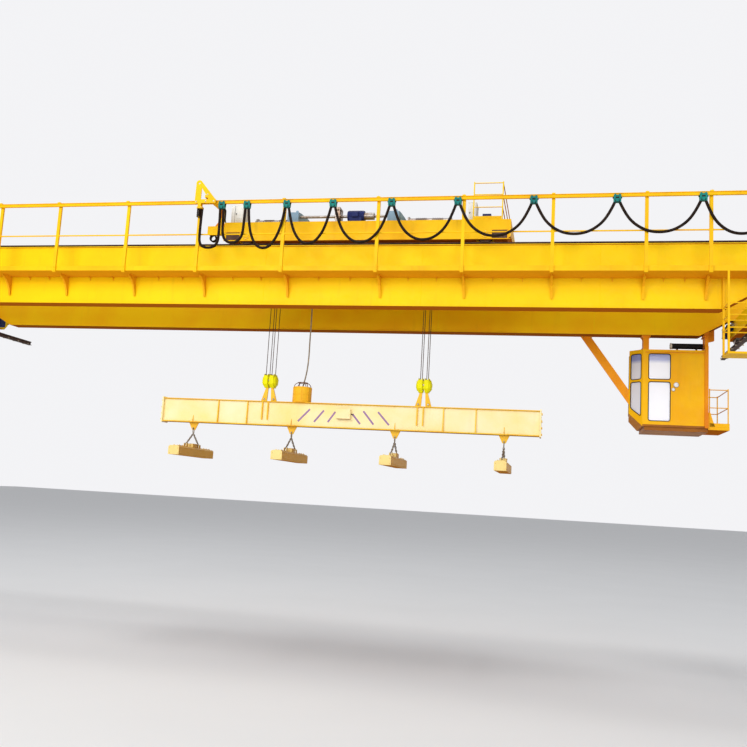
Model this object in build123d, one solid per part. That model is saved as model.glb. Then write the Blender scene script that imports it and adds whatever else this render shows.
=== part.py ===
from build123d import *
import os
from math import cos, hypot, pi, radians, tan

# Overhead travelling crane with two box girders, a twin-hoist trolley and a lifting beam
# that carries four bar magnets across it.
#
# The crane is in millimetres. +X runs along the span, from the left runway rail to the cab
# end, +Y runs along the runway, away from the walkway with the cable track, and +Z is up.
# The origin is the middle of the underside of the left runway rail, where it is bolted down.
# Like pieces on one body are solids of one node, and each node is one STEP file.

os.makedirs("parts", exist_ok=True)

# Runway rails: flat-bottom crane rail, cut to a length that carries both wheels
span = 25500
rail_length = 9000
rail_height = 140
rail_foot_width = 130
rail_foot_edge = 14
rail_web = 32
rail_head_width = 80
rail_head_depth = 42

# End carriages and their wheels
wheel_base = 4400
wheel_diameter = 500
wheel_tread = 90
wheel_flange_width = 22
wheel_flange_depth = 22
wheel_bore = 90
carriage_width = 360
carriage_bottom = 250
carriage_top = 730
carriage_length = 5500
wheel_pocket_gap = 25
axle_box_size = 210
axle_box_thickness = 40
axle_box_corner = 45
axle_recess = 5
carriage_end_cut = 160
buffer_diameter = 160
buffer_length = 220
buffer_plate = 20
buffer_plate_size = 224
travel_gearcase = (180, 240, 320)
travel_motor_diameter = 210
travel_motor_length = 440

# Main girders: a box with a flat bottom between two haunched ends
girder_gauge = 3600
girder_width = 500
girder_top = 1990
girder_bottom = 230
girder_flange = 20
girder_flange_overhang = 30
girder_end_past_rail = 260
haunch_start = 1150
haunch_end = 250

# Trolley rails on the girder tops
trolley_rail_height = 120
trolley_rail_head = 70
trolley_rail_foot = 110
trolley_rail_web = 16
trolley_rail_foot_edge = 12
trolley_rail_head_depth = 34
trolley_rail_inset = 320
end_stop_height = 330
end_stop_thickness = 60
end_stop_gap = 10

# Walkways at mid height of the girders
walkway_width = 750
walkway_floor = 1045
walkway_plate = 8
fascia_depth = 130
fascia_thickness = 40
fascia_web = 10
fascia_lip = 12
walkway_past_rail = 200
bracket_thickness = 12
bracket_depth = 580
bracket_share = 0.62
bracket_flange = 60
bracket_flange_thickness = 10

# Tall posts that carry the cable track, with the guard rail between them
post_shares = (0.055, 0.143, 0.22, 0.308, 0.396, 0.496, 0.602, 0.694, 0.786, 0.878, 0.939)
post_width = 90
post_depth = 60
post_thickness = 8
post_foot = 990
post_web_foot = 20
track_middle = 3005
track_height = 96
track_width = 74
track_web = 8
track_flange = 11
track_clear_of_post = 32
track_past_rail = 200
anchor_past_rail = 60
post_cap_rise = 30
guard_rail_above_floor = 1042
guard_rail_diameter = 40
guard_rail_end = 300

# Handrail of the far walkway
handrail_height = 1100
handrail_tube = 42
handrail_middle = 0.55
handrail_posts = 12
handrail_inset = 200

# Festoon: carriers on the track and the loops of cable between them
carrier_shares = (0.0422, 0.0915, 0.1681, 0.255, 0.3621, 0.4796, 0.6093, 0.7463, 0.8819)
carrier_length = 190
carrier_plate = 10
carrier_wheel_diameter = 44
carrier_rise = 40
saddle_chamfer = 18
carrier_drop = 96
carrier_saddle_height = 60
carrier_clearance = 8
cable_diameter = 76
strand_offset = 50
loop_low = (1670, 1810, 1650, 1770, 1800, 1860, 1950, 1980, 2010, 1950)

# Operator's cab, hung under the far girder at the right end
cab_length = 1850
cab_from_rail = 900
cab_nose = 370
cab_near = 1620
cab_far = 3450
front_splay = 110
cab_roof = -200
cab_floor = -2520
cab_rake_height = 400
cab_wall = 40
cab_floor_thickness = 60
cab_roof_thickness = 50
base_inset = 60
base_depth = 110
pane_thickness = 8
window_corner = 70
window_margin = 165
window_width = 620
upper_window = (-1100, -330)
lower_window = (-2350, -1180)
nose_window_width = 390
nose_window_sill = -2223
nose_sill_rise = 267
front_window_margin = 150
front_window_sill = -2080
door_width = 700
door_height = 1900
door_sill = 20
door_window = (-1300, -700)
door_window_margin = 120
hinge_height = 60
hinge_reach = 60
hinge_strap = 130
hinge_thickness = 12
door_gap = 4
door_thickness = 36
cab_post = 165
cab_right_post = 100
cab_post_depth = 100
hanger_head = 90
hanger_lip = 25
hanger_flare = 40
corner_post_depth = 60
haunch_gusset = (215, 90, 150)
roof_frame_height = 120
brace_width = 250
brace_thickness = 60
brace_foot_from_cab = 1680
brace_end_height = -1620

# Balcony at the cab's door and the cage under the walkway at the same end
balcony_length = 590
balcony_floor_top = -2470
balcony_floor_depth = 90
balcony_rail_top = -1340
rail_tube = 34
rail_from_cab = 40
knee_length = 190
knee_height = 420
knee_top = 60
knee_thickness = 12
cage_length = 890
cage_from_rail = 270
cage_floor = -1000
cage_floor_thickness = 50
cage_floor_lip = 30
cage_post = 50
cage_rails = (230, -70, -390)

# Trolley frame
trolley_left = 10500
trolley_right = 18900
trolley_frame_bottom = 2160
trolley_frame_top = 2730
trolley_beam_width = 300
trolley_end_cut = 90
trolley_wheel_diameter = 400
trolley_wheel_play = 5
trolley_wheel_inset = 700
cross_beam_width = 260
cross_beam_depth = 380
cross_inside_hook = 1450
cross_outside_hook = 1100
deck_thickness = 12
cabinet_from_end = 1120
cabinet_size = (220, 600, 620)
cabinet_y = -1260
small_cabinet = (180, 250, 720)
side_cabinet = (60, 105, 620)
small_cabinet_y = (-1640, -1240)
trolley_drive = (240, 260, 260)
trolley_motor_length = 380
trolley_motor_diameter = 220
railing_length = 800
railing_from_end = 250
railing_from_far_rail = 400
trolley_railing_height = 1100
rope_opening_length = 900
rope_opening_width = 640

# Hoists: two grooved drums on one line shaft, one over each hook block
hook_spacing = 4800
hoist_middle = 14000
drum_diameter = 500
drum_length = 1300
drum_flange = 40
drum_flange_rise = 45
drum_grooves = 6
groove_pitch = 56
groove_depth = 8
drum_above_deck = 310
line_shaft_diameter = 80
line_shaft_above_deck = 300
line_shaft_y = -1450
gearbox_length = 340
gearcase_near = 170
gearcase_far = 230
gearcase_crown = 190
gearcase_crown_near = 260
gearcase_crown_far = 90
gearcase_step = (120, 150)
gearcase_low_rise = 100
gearcase_flange_lip = 20
gearcase_flange = 40
motor_diameter = 320
motor_length = 490
motor_from_middle = 140
motor_foot_width = 300
motor_foot = 60
terminal_box = (150, 190, 110, 140)
brake_from_middle = -60
brake_diameter = 300
brake_width = 180
brake_base_width = 380
brake_base_height = 90
brake_arm = 40
brake_arm_length = 120
brake_head = 50
stand_thickness = 40
stand_gap = 70
stand_foot = 460
stand_top = 200
drum_journal = 110
drum_coupling = 150
shaft_coupling = (290, 210)
equalizer_above_deck = 330
equalizer_plate = 16
equalizer_foot = (20, 90)
equalizer_head = 110
equalizer_web = (90, 120)
rope_diameter = 22
sheave_diameter = 330
sheave_width = 84
sheave_rim = 20

# Tow arm, from the trolley's left end over the posts to the clamp of the festoon cable
tow_arm_reach = 550
tow_arm_above_wheels = 240
tow_arm_depth = 240
tow_arm_width = 200
mast_from_trolley = 100
mast_width = 110
mast_depth = 120
outrigger_clearance = 35
outrigger_depth = 80
tow_plate_thickness = 24
tow_plate_from_track = 60
tow_plate_past_arm = 30
tow_plate_length = 720
tow_plate_height = 680
tow_plate_below_track = 7
tow_plate_edge = 60
tow_apex_from_edge = 180
tow_apex_diameter = 180
tow_apex_shoulder = 70
tow_hole_diameter = 60
tow_opening = 170
tow_opening_rise = 110
tow_leg_width = 100
tow_clamp_from_tip = 200
tow_clamp_length = 160
tow_clamp_height = 60

# Hook blocks and the lifting beam
beam_length = 11600
beam_top = -2350
beam_depth = 740
beam_width = 350
beam_flange = 22
beam_web_inset = 75
beam_end_plate = 40
beam_end_lip = 30
rib_top_reach = 8
rib_spots = (3030, 3980)
rib_thickness = 22
block_width = 310
block_height = 420
block_bottom = -1930
block_depth = 396
block_wall = 14
block_gap = 60
block_pin = 70
block_low_chamfer = 110
block_top_chamfer = 60
head_bottom = 95
head_top = 340
head_depth = 220
lug_top = (45, 120)
lug_foot = (70, 250)
lug_thickness = 60
magnet_spacing = 3200
basket_diameter = 550
basket_height = 470
basket_wall = 6
basket_from_middle = -1350
gland_from_basket = 110
gland_y = 40
gland_length = 60
gland_diameter = 90
magnet_cable_diameter = 42
box_length = 430
box_height = 290
box_depth = 130
box_below_top = 170
box_from_middle = -180

# Magnets and their chains
magnet_length = 2600
magnet_width = 340
magnet_height = 270
magnet_bottom = -4150
hanger_height = 230
hanger_top_width = 320
hanger_thickness = 36
chain_diameter = 34
hanger_tip_width = 100
hanger_pin_from_tip = 50
hanger_pin = 44
shackle_width = 90
shackle_bar = 40
shackle_foot = 30
sling_pin = 40
sling_pin_height = 90
sling_ring = 130
sling_lug_spacing = 950
ear_spread = 60
ear_thickness = 18
ear_foot = 140
ear_top = 80
ear_height = 120
magnet_chamfer = 40

gap = 0.3

# Derived places
girder_y = girder_gauge / 2
girder_near_face = -girder_y - girder_width / 2
girder_far_face = girder_y + girder_width / 2
haunch_height = carriage_top
wheel_middle = rail_height + wheel_diameter / 2 + gap
walkway_near_edge = girder_near_face - walkway_width
guard_rail_z = walkway_floor + guard_rail_above_floor
track_y = walkway_near_edge - post_depth - track_clear_of_post - track_width / 2
track_left = -track_past_rail
track_right = span + track_past_rail
track_bottom = track_middle - track_height / 2
track_top = track_middle + track_height / 2
clamp_bottom = track_bottom - carrier_drop - carrier_saddle_height
trolley_rail_top = girder_top + trolley_rail_height
trolley_wheel_middle = trolley_rail_top + trolley_wheel_diameter / 2 + gap
hook_left = hoist_middle - hook_spacing / 2
hook_right = hoist_middle + hook_spacing / 2
hook_spots = (hook_left, hook_right)
fall_spread = (block_gap + block_width) / 2
fall_y = sheave_diameter / 2
drum_y = -fall_y - drum_diameter / 2
magnet_spots = [hoist_middle + (i - 1.5) * magnet_spacing for i in range(4)]
beam_bottom = beam_top - beam_depth
drum_height = trolley_frame_top + drum_above_deck
line_shaft_height = trolley_frame_top + line_shaft_above_deck
post_spots = [span * share for share in post_shares]
cab_right = span - cab_from_rail
cab_left = cab_right - cab_length
cage_right = span - cage_from_rail
cage_left = cage_right - cage_length
tow_arm_left = trolley_left - tow_arm_reach
tow_clamp = tow_arm_left + tow_clamp_from_tip
anchor_x = span + anchor_past_rail
carrier_spots = [tow_clamp + share * (anchor_x - tow_clamp) for share in carrier_shares]


def block(x0, x1, y0, y1, z0, z1):
    """A box between two corners."""
    middle = Pos((x0 + x1) / 2, (y0 + y1) / 2, (z0 + z1) / 2)
    return middle * Box(abs(x1 - x0), abs(y1 - y0), abs(z1 - z0))


def along_y(points, y0, y1):
    """An outline in X and Z, extruded from y0 to y1."""
    face = make_face(Polyline(*[(x, y0, z) for x, z in points], close=True))
    return extrude(face, amount=y1 - y0, dir=(0, 1, 0))


def along_x(points, x0, x1):
    """An outline in Y and Z, extruded from x0 to x1."""
    face = make_face(Polyline(*[(x0, y, z) for y, z in points], close=True))
    return extrude(face, amount=x1 - x0, dir=(1, 0, 0))


def bar(start, end, diameter):
    """A round bar between two points."""
    start, end = Vector(*start), Vector(*end)
    plane = Plane(origin=(start + end) * 0.5, z_dir=end - start)
    return plane * Cylinder(diameter / 2, (end - start).length)


def x_cylinder(x0, x1, y, z, diameter):
    return bar((x0, y, z), (x1, y, z), diameter)


def y_cylinder(x, y0, y1, z, diameter):
    return bar((x, y0, z), (x, y1, z), diameter)


def turned(profile, origin, axis):
    """A profile of radius and place along the axis, turned about the axis."""
    plane = Plane(origin=origin, x_dir=(0, 0, 1), z_dir=Vector(*axis).cross(Vector(0, 0, 1)) * -1)
    face = make_face(Polyline(*[plane.from_local_coords(Vector(r, s, 0)) for r, s in profile], close=True))
    return revolve(face, axis=Axis(origin, axis))


def save(name, *solids):
    """Writes the solids of one node as one file."""
    shapes = []
    for shape in solids:
        shapes.extend(shape.solids())
    export_step(Compound(children=shapes) if len(shapes) > 1 else shapes[0], f"parts/{name}.step")


def rail_section(y, foot, foot_edge, web, head, head_depth, height):
    """Half outlines of a flat-bottom rail joined to one outline in Y (or X) and Z from 0."""
    right = [
        (foot / 2, 0),
        (foot / 2, foot_edge),
        (web / 2, foot_edge * 2),
        (web / 2, height - head_depth),
        (head / 2, height - head_depth * 0.8),
        (head / 2, height),
    ]
    left = [(-a, z) for a, z in reversed(right)]
    return [(y + a, z) for a, z in right + left]


# Runway rails

def runway_rail(x):
    section = rail_section(
        x, rail_foot_width, rail_foot_edge, rail_web, rail_head_width, rail_head_depth, rail_height
    )
    return along_y(section, -rail_length / 2, rail_length / 2)


save("runway_rails", runway_rail(0), runway_rail(span))


# End carriages: box beams with a pocket over each wheel, axle boxes, and a buffer at each end

def wheel(x, y, z, diameter, tread, axle_out):
    """A double-flanged wheel on its axle, along X, turned as one profile."""
    rim = diameter / 2
    flange = rim + wheel_flange_depth
    half = tread / 2 + wheel_flange_width
    profile = [
        (0, -axle_out),
        (wheel_bore / 2, -axle_out),
        (wheel_bore / 2, -half),
        (flange, -half),
        (flange, -tread / 2),
        (rim, -tread / 2),
        (rim, tread / 2),
        (flange, tread / 2),
        (flange, half),
        (wheel_bore / 2, half),
        (wheel_bore / 2, axle_out),
        (0, axle_out),
    ]
    return turned(profile, (x, y, z), (1, 0, 0))


def carriage(x):
    half = carriage_length / 2
    cut = carriage_end_cut
    side = [
        (-half, carriage_bottom + cut),
        (-half + cut, carriage_bottom),
        (half - cut, carriage_bottom),
        (half, carriage_bottom + cut),
        (half, carriage_top),
        (-half, carriage_top),
    ]
    beam = along_x(side, x - carriage_width / 2, x + carriage_width / 2)
    pocket = wheel_tread + 2 * wheel_flange_width + 2 * wheel_pocket_gap
    reach = wheel_diameter / 2 + wheel_flange_depth + wheel_pocket_gap
    for end in (-1, 1):
        y = end * wheel_base / 2
        beam -= block(x - pocket / 2, x + pocket / 2, y - reach, y + reach, 0, wheel_middle + reach)
        beam -= x_cylinder(x - carriage_width, x + carriage_width, y, wheel_middle, wheel_bore + 2 * gap)
        buffer_z = (carriage_bottom + cut + carriage_top) / 2
        beam += block(
            x - buffer_plate_size / 2, x + buffer_plate_size / 2,
            end * half, end * (half + buffer_plate),
            buffer_z - buffer_plate_size / 2, buffer_z + buffer_plate_size / 2,
        )
        beam += y_cylinder(
            x, end * (half + buffer_plate), end * (half + buffer_plate + buffer_length),
            buffer_z, buffer_diameter,
        )
    return beam


axle_reach = carriage_width / 2 + axle_box_thickness


def axle_box(x, y, side):
    """The square bearing cap on the outer face of the carriage, with its round cover."""
    inner = x + side * carriage_width / 2
    outer = inner + side * axle_box_thickness
    half = axle_box_size / 2
    z = wheel_middle
    corner = axle_box_corner
    outline = [
        (y - half, z - half + corner), (y - half + corner, z - half), (y + half - corner, z - half),
        (y + half, z - half + corner), (y + half, z + half - corner), (y + half - corner, z + half),
        (y - half + corner, z + half), (y - half, z + half - corner),
    ]
    cap = along_x(outline, min(inner, outer), max(inner, outer))
    cap -= x_cylinder(x - 2 * carriage_width, x + 2 * carriage_width, y, z, wheel_bore + 2 * gap)
    return cap


wheels = []
carriages = []
for rail_x in (0, span):
    beam = carriage(rail_x)
    for wheel_y in (-wheel_base / 2, wheel_base / 2):
        wheels.append(wheel(rail_x, wheel_y, wheel_middle, wheel_diameter, wheel_tread, axle_reach))
        beam += axle_box(rail_x, wheel_y, -1) + axle_box(rail_x, wheel_y, 1)
    carriages.append(beam)
save("end_carriages", *carriages)
save("carriage_wheels", *wheels)


# Travel drives: a gear motor on the inner face of each carriage, at the far wheel

def travel_drive(x, side):
    """Gearcase against the axle box of the far wheel, with its motor lying along Y."""
    face = x + side * (carriage_width / 2 + axle_box_thickness)
    y = wheel_base / 2
    depth, length, height = travel_gearcase
    low = wheel_middle - length / 2
    case = block(face, face + side * depth, y - length / 2, y + length / 2, low, low + height)
    case = fillet(case.edges().filter_by(Axis.X), axle_box_corner)
    case -= x_cylinder(face - axle_recess, face + axle_recess, y, wheel_middle, wheel_bore + 2)
    motor_end = y - length / 2
    motor_z = wheel_middle + wheel_bore
    motor_x = face + side * depth / 2
    motor = y_cylinder(motor_x, motor_end - travel_motor_length, motor_end, motor_z, travel_motor_diameter)
    return case + motor


save("travel_drives", travel_drive(0, 1), travel_drive(span, -1))


# Main girders

def girder(y):
    """Side elevation of the box with its haunched ends, then the four flange plates."""
    left = -girder_end_past_rail
    right = span + girder_end_past_rail
    bottom = [
        (left, haunch_height),
        (haunch_end, haunch_height),
        (haunch_start, girder_bottom),
        (span - haunch_start, girder_bottom),
        (span - haunch_end, haunch_height),
        (right, haunch_height),
    ]
    web_half = girder_width / 2 - girder_flange_overhang
    outline = bottom + [(right, girder_top), (left, girder_top)]
    box = along_y(outline, y - web_half, y + web_half)
    near = y - girder_width / 2
    far = y + girder_width / 2
    top = block(left, right, near, far, girder_top - girder_flange, girder_top)
    strip = bottom + [(x, z + girder_flange) for x, z in reversed(bottom)]
    foot = along_y(strip, near, far)
    return box + top + foot


save("near_girder", girder(-girder_y))
save("far_girder", girder(girder_y))


def trolley_rail(y):
    section = rail_section(
        y, trolley_rail_foot, trolley_rail_foot_edge, trolley_rail_web,
        trolley_rail_head, trolley_rail_head_depth, trolley_rail_height,
    )
    section = [(a, girder_top + z) for a, z in section]
    pieces = [along_x(section, trolley_rail_inset, span - trolley_rail_inset)]
    for end, side in ((trolley_rail_inset, -1), (span - trolley_rail_inset, 1)):
        face = end + side * end_stop_gap
        back = face + side * end_stop_thickness
        outline = [
            (face, girder_top), (back + side * end_stop_thickness, girder_top),
            (back, trolley_rail_top + end_stop_height), (face, trolley_rail_top + end_stop_height),
        ]
        pieces.append(along_y(outline, y - trolley_rail_foot / 2, y + trolley_rail_foot / 2))
    return pieces


save("trolley_rails", *trolley_rail(-girder_y), *trolley_rail(girder_y))


# Walkways: chequered floor and edge channel, on brackets welded to the girder web

web_near = girder_near_face + girder_flange_overhang
web_far = girder_far_face - girder_flange_overhang


def bracket(x, side):
    """A gusset with a hollow curved edge under a post, and a flange along that edge."""
    web = web_near if side < 0 else web_far
    top = walkway_floor - walkway_plate
    reach = side * walkway_width * bracket_share
    curve = [(1, 0), (1, 0.12), (0.66, 0.24), (0.4, 0.45), (0.22, 0.72), (0.12, 1)]
    edge = [(web + reach * u, top - bracket_depth * v) for u, v in curve]
    outline = [(web, top)] + edge + [(web, top - bracket_depth)]
    plate = along_x(outline, x - bracket_thickness / 2, x + bracket_thickness / 2)
    thick = bracket_flange_thickness
    band = edge[1:] + [(y - side * thick, z + thick) for y, z in reversed(edge[1:])]
    return plate + along_x(band, x - bracket_flange / 2, x + bracket_flange / 2)


def walkway(side):
    """Floor plate with its edge channel."""
    web = web_near if side < 0 else web_far
    edge = (girder_near_face - walkway_width) if side < 0 else (girder_far_face + walkway_width)
    left = 0
    right = span + walkway_past_rail
    floor = block(left, right, min(web, edge), max(web, edge), walkway_floor - walkway_plate, walkway_floor)
    inner = edge - side * fascia_thickness
    low = walkway_floor - walkway_plate
    high = walkway_floor + fascia_depth
    fascia = block(left, right, min(edge, inner), max(edge, inner), low, high)
    web_face = edge - side * fascia_web
    fascia -= block(
        left - 1, right + 1, min(inner, web_face), max(inner, web_face),
        walkway_floor + fascia_lip, high - fascia_lip,
    )
    return floor + fascia


save("near_walkway", walkway(-1))
save("far_walkway", walkway(1))
brackets = []
for side in (-1, 1):
    for x in post_spots:
        brackets.append(bracket(x, side))
save("walkway_brackets", *brackets)


# Tall posts with the guard rail, and the I-section track that they hold

def tall_post(x):
    """A channel post, open to the walkway, with an arm at its head that holds the track."""
    y0 = walkway_near_edge - post_depth
    y1 = walkway_near_edge
    top = track_top + post_cap_rise
    post = block(x - post_width / 2, x + post_width / 2, y0, y1, post_foot, top)
    post -= block(
        x - post_width / 2 + post_thickness, x + post_width / 2 - post_thickness,
        y0 + post_thickness, y1 + 1, walkway_floor + fascia_depth + post_web_foot, top - post_web_foot,
    )
    arm_end = track_y - track_width / 2
    post += block(x - post_width / 2, x + post_width / 2, arm_end, y0, track_top, top)
    return post


save("near_posts", *[tall_post(x) for x in post_spots])
rail_y = walkway_near_edge - post_depth / 2
rail_ends = [post_spots[0] - guard_rail_end]
for x in post_spots:
    rail_ends += [x - post_width / 2, x + post_width / 2]
rail_ends.append(post_spots[-1] + guard_rail_end)
guard_rails = []
for a, b in zip(rail_ends[::2], rail_ends[1::2]):
    guard_rails.append(x_cylinder(a, b, rail_y, guard_rail_z, guard_rail_diameter))
save("guard_rail", *guard_rails)

half_track = track_height / 2
track_outline = [
    (-track_width / 2, half_track), (track_width / 2, half_track),
    (track_width / 2, half_track - track_flange), (track_web / 2, half_track - track_flange),
    (track_web / 2, track_flange - half_track), (track_width / 2, track_flange - half_track),
    (track_width / 2, -half_track), (-track_width / 2, -half_track),
    (-track_width / 2, track_flange - half_track), (-track_web / 2, track_flange - half_track),
    (-track_web / 2, half_track - track_flange), (-track_width / 2, half_track - track_flange),
]
track = along_x([(track_y + a, track_middle + z) for a, z in track_outline], track_left, track_right)
anchor = block(
    anchor_x - carrier_length / 2, anchor_x + carrier_length / 2,
    track_y - track_width / 2, track_y + track_width / 2, clamp_bottom, track_bottom,
)
save("festoon_track", track + anchor)


def far_handrail():
    """Top and middle rails on round posts, set on the far walkway's edge channel."""
    y = girder_far_face + walkway_width - fascia_thickness / 2
    foot = walkway_floor + fascia_depth
    left = handrail_inset
    right = span
    step = (right - left) / (handrail_posts - 1)
    rail = x_cylinder(left, right, y, walkway_floor + handrail_height, handrail_tube)
    rail += x_cylinder(left, right, y, walkway_floor + handrail_height * handrail_middle, rail_tube)
    for i in range(handrail_posts):
        x = left + i * step
        rail += bar((x, y, foot), (x, y, walkway_floor + handrail_height), handrail_tube)
    return rail


save("far_handrail", far_handrail())


# Festoon carriers: two plates that run on the lower flange, with a saddle for the cable

def carrier(x):
    half = carrier_length / 2
    inner = track_width / 2 + carrier_clearance
    outer = inner + carrier_plate
    foot = track_bottom - carrier_drop
    high = track_bottom + carrier_rise
    plates = block(x - half, x + half, track_y - outer, track_y + outer, foot, high)
    floor = foot + carrier_plate
    plates -= block(x - half - 1, x + half + 1, track_y - inner, track_y + inner, floor, high + 1)
    for side in (-1, 1):
        for end in (-1, 1):
            wheel_z = track_bottom + track_flange + gap + carrier_wheel_diameter / 2
            wheel_x = x + end * half * 0.6
            a = track_y + side * (track_web / 2 + carrier_plate)
            b = track_y + side * inner
            plates += y_cylinder(wheel_x, min(a, b), max(a, b), wheel_z, carrier_wheel_diameter)
    saddle = block(x - half, x + half, track_y - inner, track_y + inner, clamp_bottom, foot)
    saddle = chamfer(saddle.edges().filter_by(Axis.Y).group_by(Axis.Z)[0], saddle_chamfer)
    return plates + saddle


for number, x in enumerate(carrier_spots, 1):
    save(f"festoon_carrier_{number}", carrier(x))


# Festoon cable: one loop between each two clamps, hung in the plane of the track

narrow_loop = ((0, 0), (-0.04, 0.52), (0, 1), (1, 1), (1.04, 0.52), (1, 0))
middle_loop = ((0, 0), (0.02, 0.45), (0.05, 0.82), (0.31, 1), (0.69, 1), (0.95, 0.82), (0.98, 0.45), (1, 0))
wide_loop = ((0, 0), (0.07, 0.38), (0.19, 0.75), (0.38, 1), (0.62, 1), (0.81, 0.75), (0.93, 0.38), (1, 0))
uneven_loop = ((0, 0), (0.03, 0.38), (0.15, 0.78), (0.35, 1), (0.6, 1), (0.8, 0.78), (0.95, 0.38), (1, 0))
loop_shapes = (narrow_loop, middle_loop, uneven_loop) + (wide_loop,) * 7


def arc_radii(points):
    """For each corner 0.45 of its shorter run over the tangent of half its turn."""
    radii = []
    for a, b, c in zip(points, points[1:], points[2:]):
        before, after = Vector(*b) - Vector(*a), Vector(*c) - Vector(*b)
        half_turn = radians(before.get_angle(after)) / 2
        radii.append(0.45 * min(before.length, after.length) / tan(half_turn))
    return radii


def hanging_tube(points, diameter):
    radii = arc_radii(points)
    path = FilletPolyline(*points, radius=radii)
    start = Plane(origin=path @ 0, z_dir=path % 0)
    tube = sweep(start * Circle(diameter / 2), path=path)
    expected = path.length * pi * diameter**2 / 4
    share = tube.volume / expected
    print(f"cable {path.length:.0f} mm, tightest arc {min(radii):.0f} mm, volume share {share:.4f}")
    return tube


def below(solid, height):
    """The part of a solid that lies under a level."""
    return solid & block(-span, 2 * span, -span, span, -span, height)


clamps = [tow_clamp, *carrier_spots, anchor_x]
loops = []
for a, b, low, shape in zip(clamps, clamps[1:], loop_low, loop_shapes):
    left, right = a + strand_offset, b - strand_offset
    top = clamp_bottom + cable_diameter / 2
    route = [(left + u * (right - left), track_y, top + v * (low - top)) for u, v in shape]
    loops.append(below(hanging_tube(route, cable_diameter), clamp_bottom - gap))
save("festoon_cable", *loops)


# Cab: a shell with a chamfered, raked nose, divided into its floor, roof and walls

nose_x = cab_left - cab_nose
nose_y = cab_near + cab_nose
rake = (cab_nose, -cab_rake_height)


def cab_solid(inset, z0, z1):
    """The cab's outer form, or its inner form at a wall's inset."""
    corners = [
        (cab_left, cab_near, z0), (cab_right, cab_near, z0), (cab_right, cab_far, z0),
        (nose_x + front_splay, cab_far, z0), (nose_x, nose_y, z0),
    ]
    plan = make_face(Polyline(*corners, close=True))
    if inset:
        plan = offset(plan, amount=-inset, kind=Kind.INTERSECTION)
    solid = extrude(plan, amount=z1 - z0, dir=(0, 0, 1))
    low = cab_floor + inset * hypot(*rake) / cab_nose
    past = 500
    drop = past * cab_rake_height / cab_nose
    wedge = [
        (nose_x - past, low + cab_rake_height + drop),
        (cab_left + past, low - drop),
        (nose_x - past, low - drop),
    ]
    return solid - along_y(wedge, cab_near - past, cab_far + past)


shell = cab_solid(0, cab_floor, cab_roof)
shell -= cab_solid(cab_wall, cab_floor + cab_floor_thickness, cab_roof - cab_roof_thickness)


def window(plane, width, bottom, top, depth, rise=0):
    """A window opening with round corners, or its pane. The sill may rise towards its left end."""
    half = width / 2
    corners = [(-half, bottom + rise), (half, bottom), (half, top), (-half, top)]
    points = [plane.from_local_coords(Vector(a, 0, 0)) + Vector(0, 0, z) for a, z in corners]
    outline = make_face(Polyline(*points, close=True))
    outline = fillet(outline.vertices(), window_corner)
    return extrude(outline, amount=depth / 2, dir=plane.z_dir, both=True)


side_middle = cab_left + window_margin + window_width / 2
facet = cab_wall / 2 * cos(radians(45))
nose_middle = (cab_left - cab_nose / 2 + facet, cab_near + cab_nose / 2 + facet)
front_length = hypot(cab_far - nose_y, front_splay)
splay_sin = front_splay / front_length
splay_cos = (cab_far - nose_y) / front_length
front_middle = (
    nose_x + front_splay / 2 + splay_cos * cab_wall / 2,
    (nose_y + cab_far) / 2 - splay_sin * cab_wall / 2,
)
front_width = front_length - 2 * front_window_margin
door_middle = (cab_near + cab_far) / 2
door_bottom = cab_floor + cab_floor_thickness + door_sill
side_plane = Plane((side_middle, cab_near + cab_wall / 2, 0), x_dir=(1, 0, 0), z_dir=(0, -1, 0))
far_plane = Plane((side_middle, cab_far - cab_wall / 2, 0), x_dir=(-1, 0, 0), z_dir=(0, 1, 0))
nose_plane = Plane((*nose_middle, 0), x_dir=(1, -1, 0), z_dir=(-1, -1, 0))
front_plane = Plane((*front_middle, 0), x_dir=(-splay_sin, -splay_cos, 0), z_dir=(-splay_cos, splay_sin, 0))
frames = [
    (side_plane, window_width, lower_window, 0),
    (far_plane, window_width, lower_window, 0),
    (nose_plane, nose_window_width, (nose_window_sill, lower_window[1]), nose_sill_rise),
    (front_plane, front_width, (front_window_sill, lower_window[1]), 0),
]
panes = []
for plane, width, low, rise in frames:
    for (bottom, top), sill_rise in ((low, rise), (upper_window, 0)):
        shell -= window(plane, width, bottom, top, 3 * cab_wall, sill_rise)
        panes.append(window(plane, width, bottom, top, pane_thickness, sill_rise))
door_plane = Plane((cab_right - cab_wall / 2, door_middle, 0), x_dir=(0, 1, 0), z_dir=(1, 0, 0))
shell -= block(
    cab_right - 3 * cab_wall, cab_right + cab_wall,
    door_middle - door_width / 2, door_middle + door_width / 2, door_bottom, door_bottom + door_height,
)

far_out = 1000
wall_top = cab_roof - cab_roof_thickness
floor_top = cab_floor + cab_floor_thickness
around = (nose_x - far_out, cab_right + far_out, cab_near - far_out, cab_far + far_out)
roof = shell & block(*around, wall_top, cab_roof + 1)
body = shell & block(*around, cab_floor - 1, wall_top)
floor = body & block(cab_left, cab_right, cab_near, cab_far, cab_floor - 1, floor_top)
walls = body - floor
end_face = cab_right - cab_wall
base = block(
    cab_left + base_inset, cab_right, cab_near + base_inset, cab_far - base_inset,
    cab_floor - base_depth, cab_floor,
)
floor += base
save("cab_roof", roof)
save("cab_floor", floor)
save("cab_side_wall", walls & block(cab_left, end_face, cab_near - 1, nose_y, cab_floor, wall_top))
save("cab_nose_wall", walls & block(nose_x - 1, cab_left, cab_near - 1, nose_y, cab_floor, wall_top))
save("cab_front_wall", walls & block(nose_x - 1, cab_left, nose_y, cab_far + 1, cab_floor, wall_top))
save("cab_far_wall", walls & block(cab_left, end_face, nose_y, cab_far + 1, cab_floor, wall_top))
save("cab_end_wall", walls & block(end_face, cab_right + 1, cab_near - 1, cab_far + 1, cab_floor, wall_top))

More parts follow.
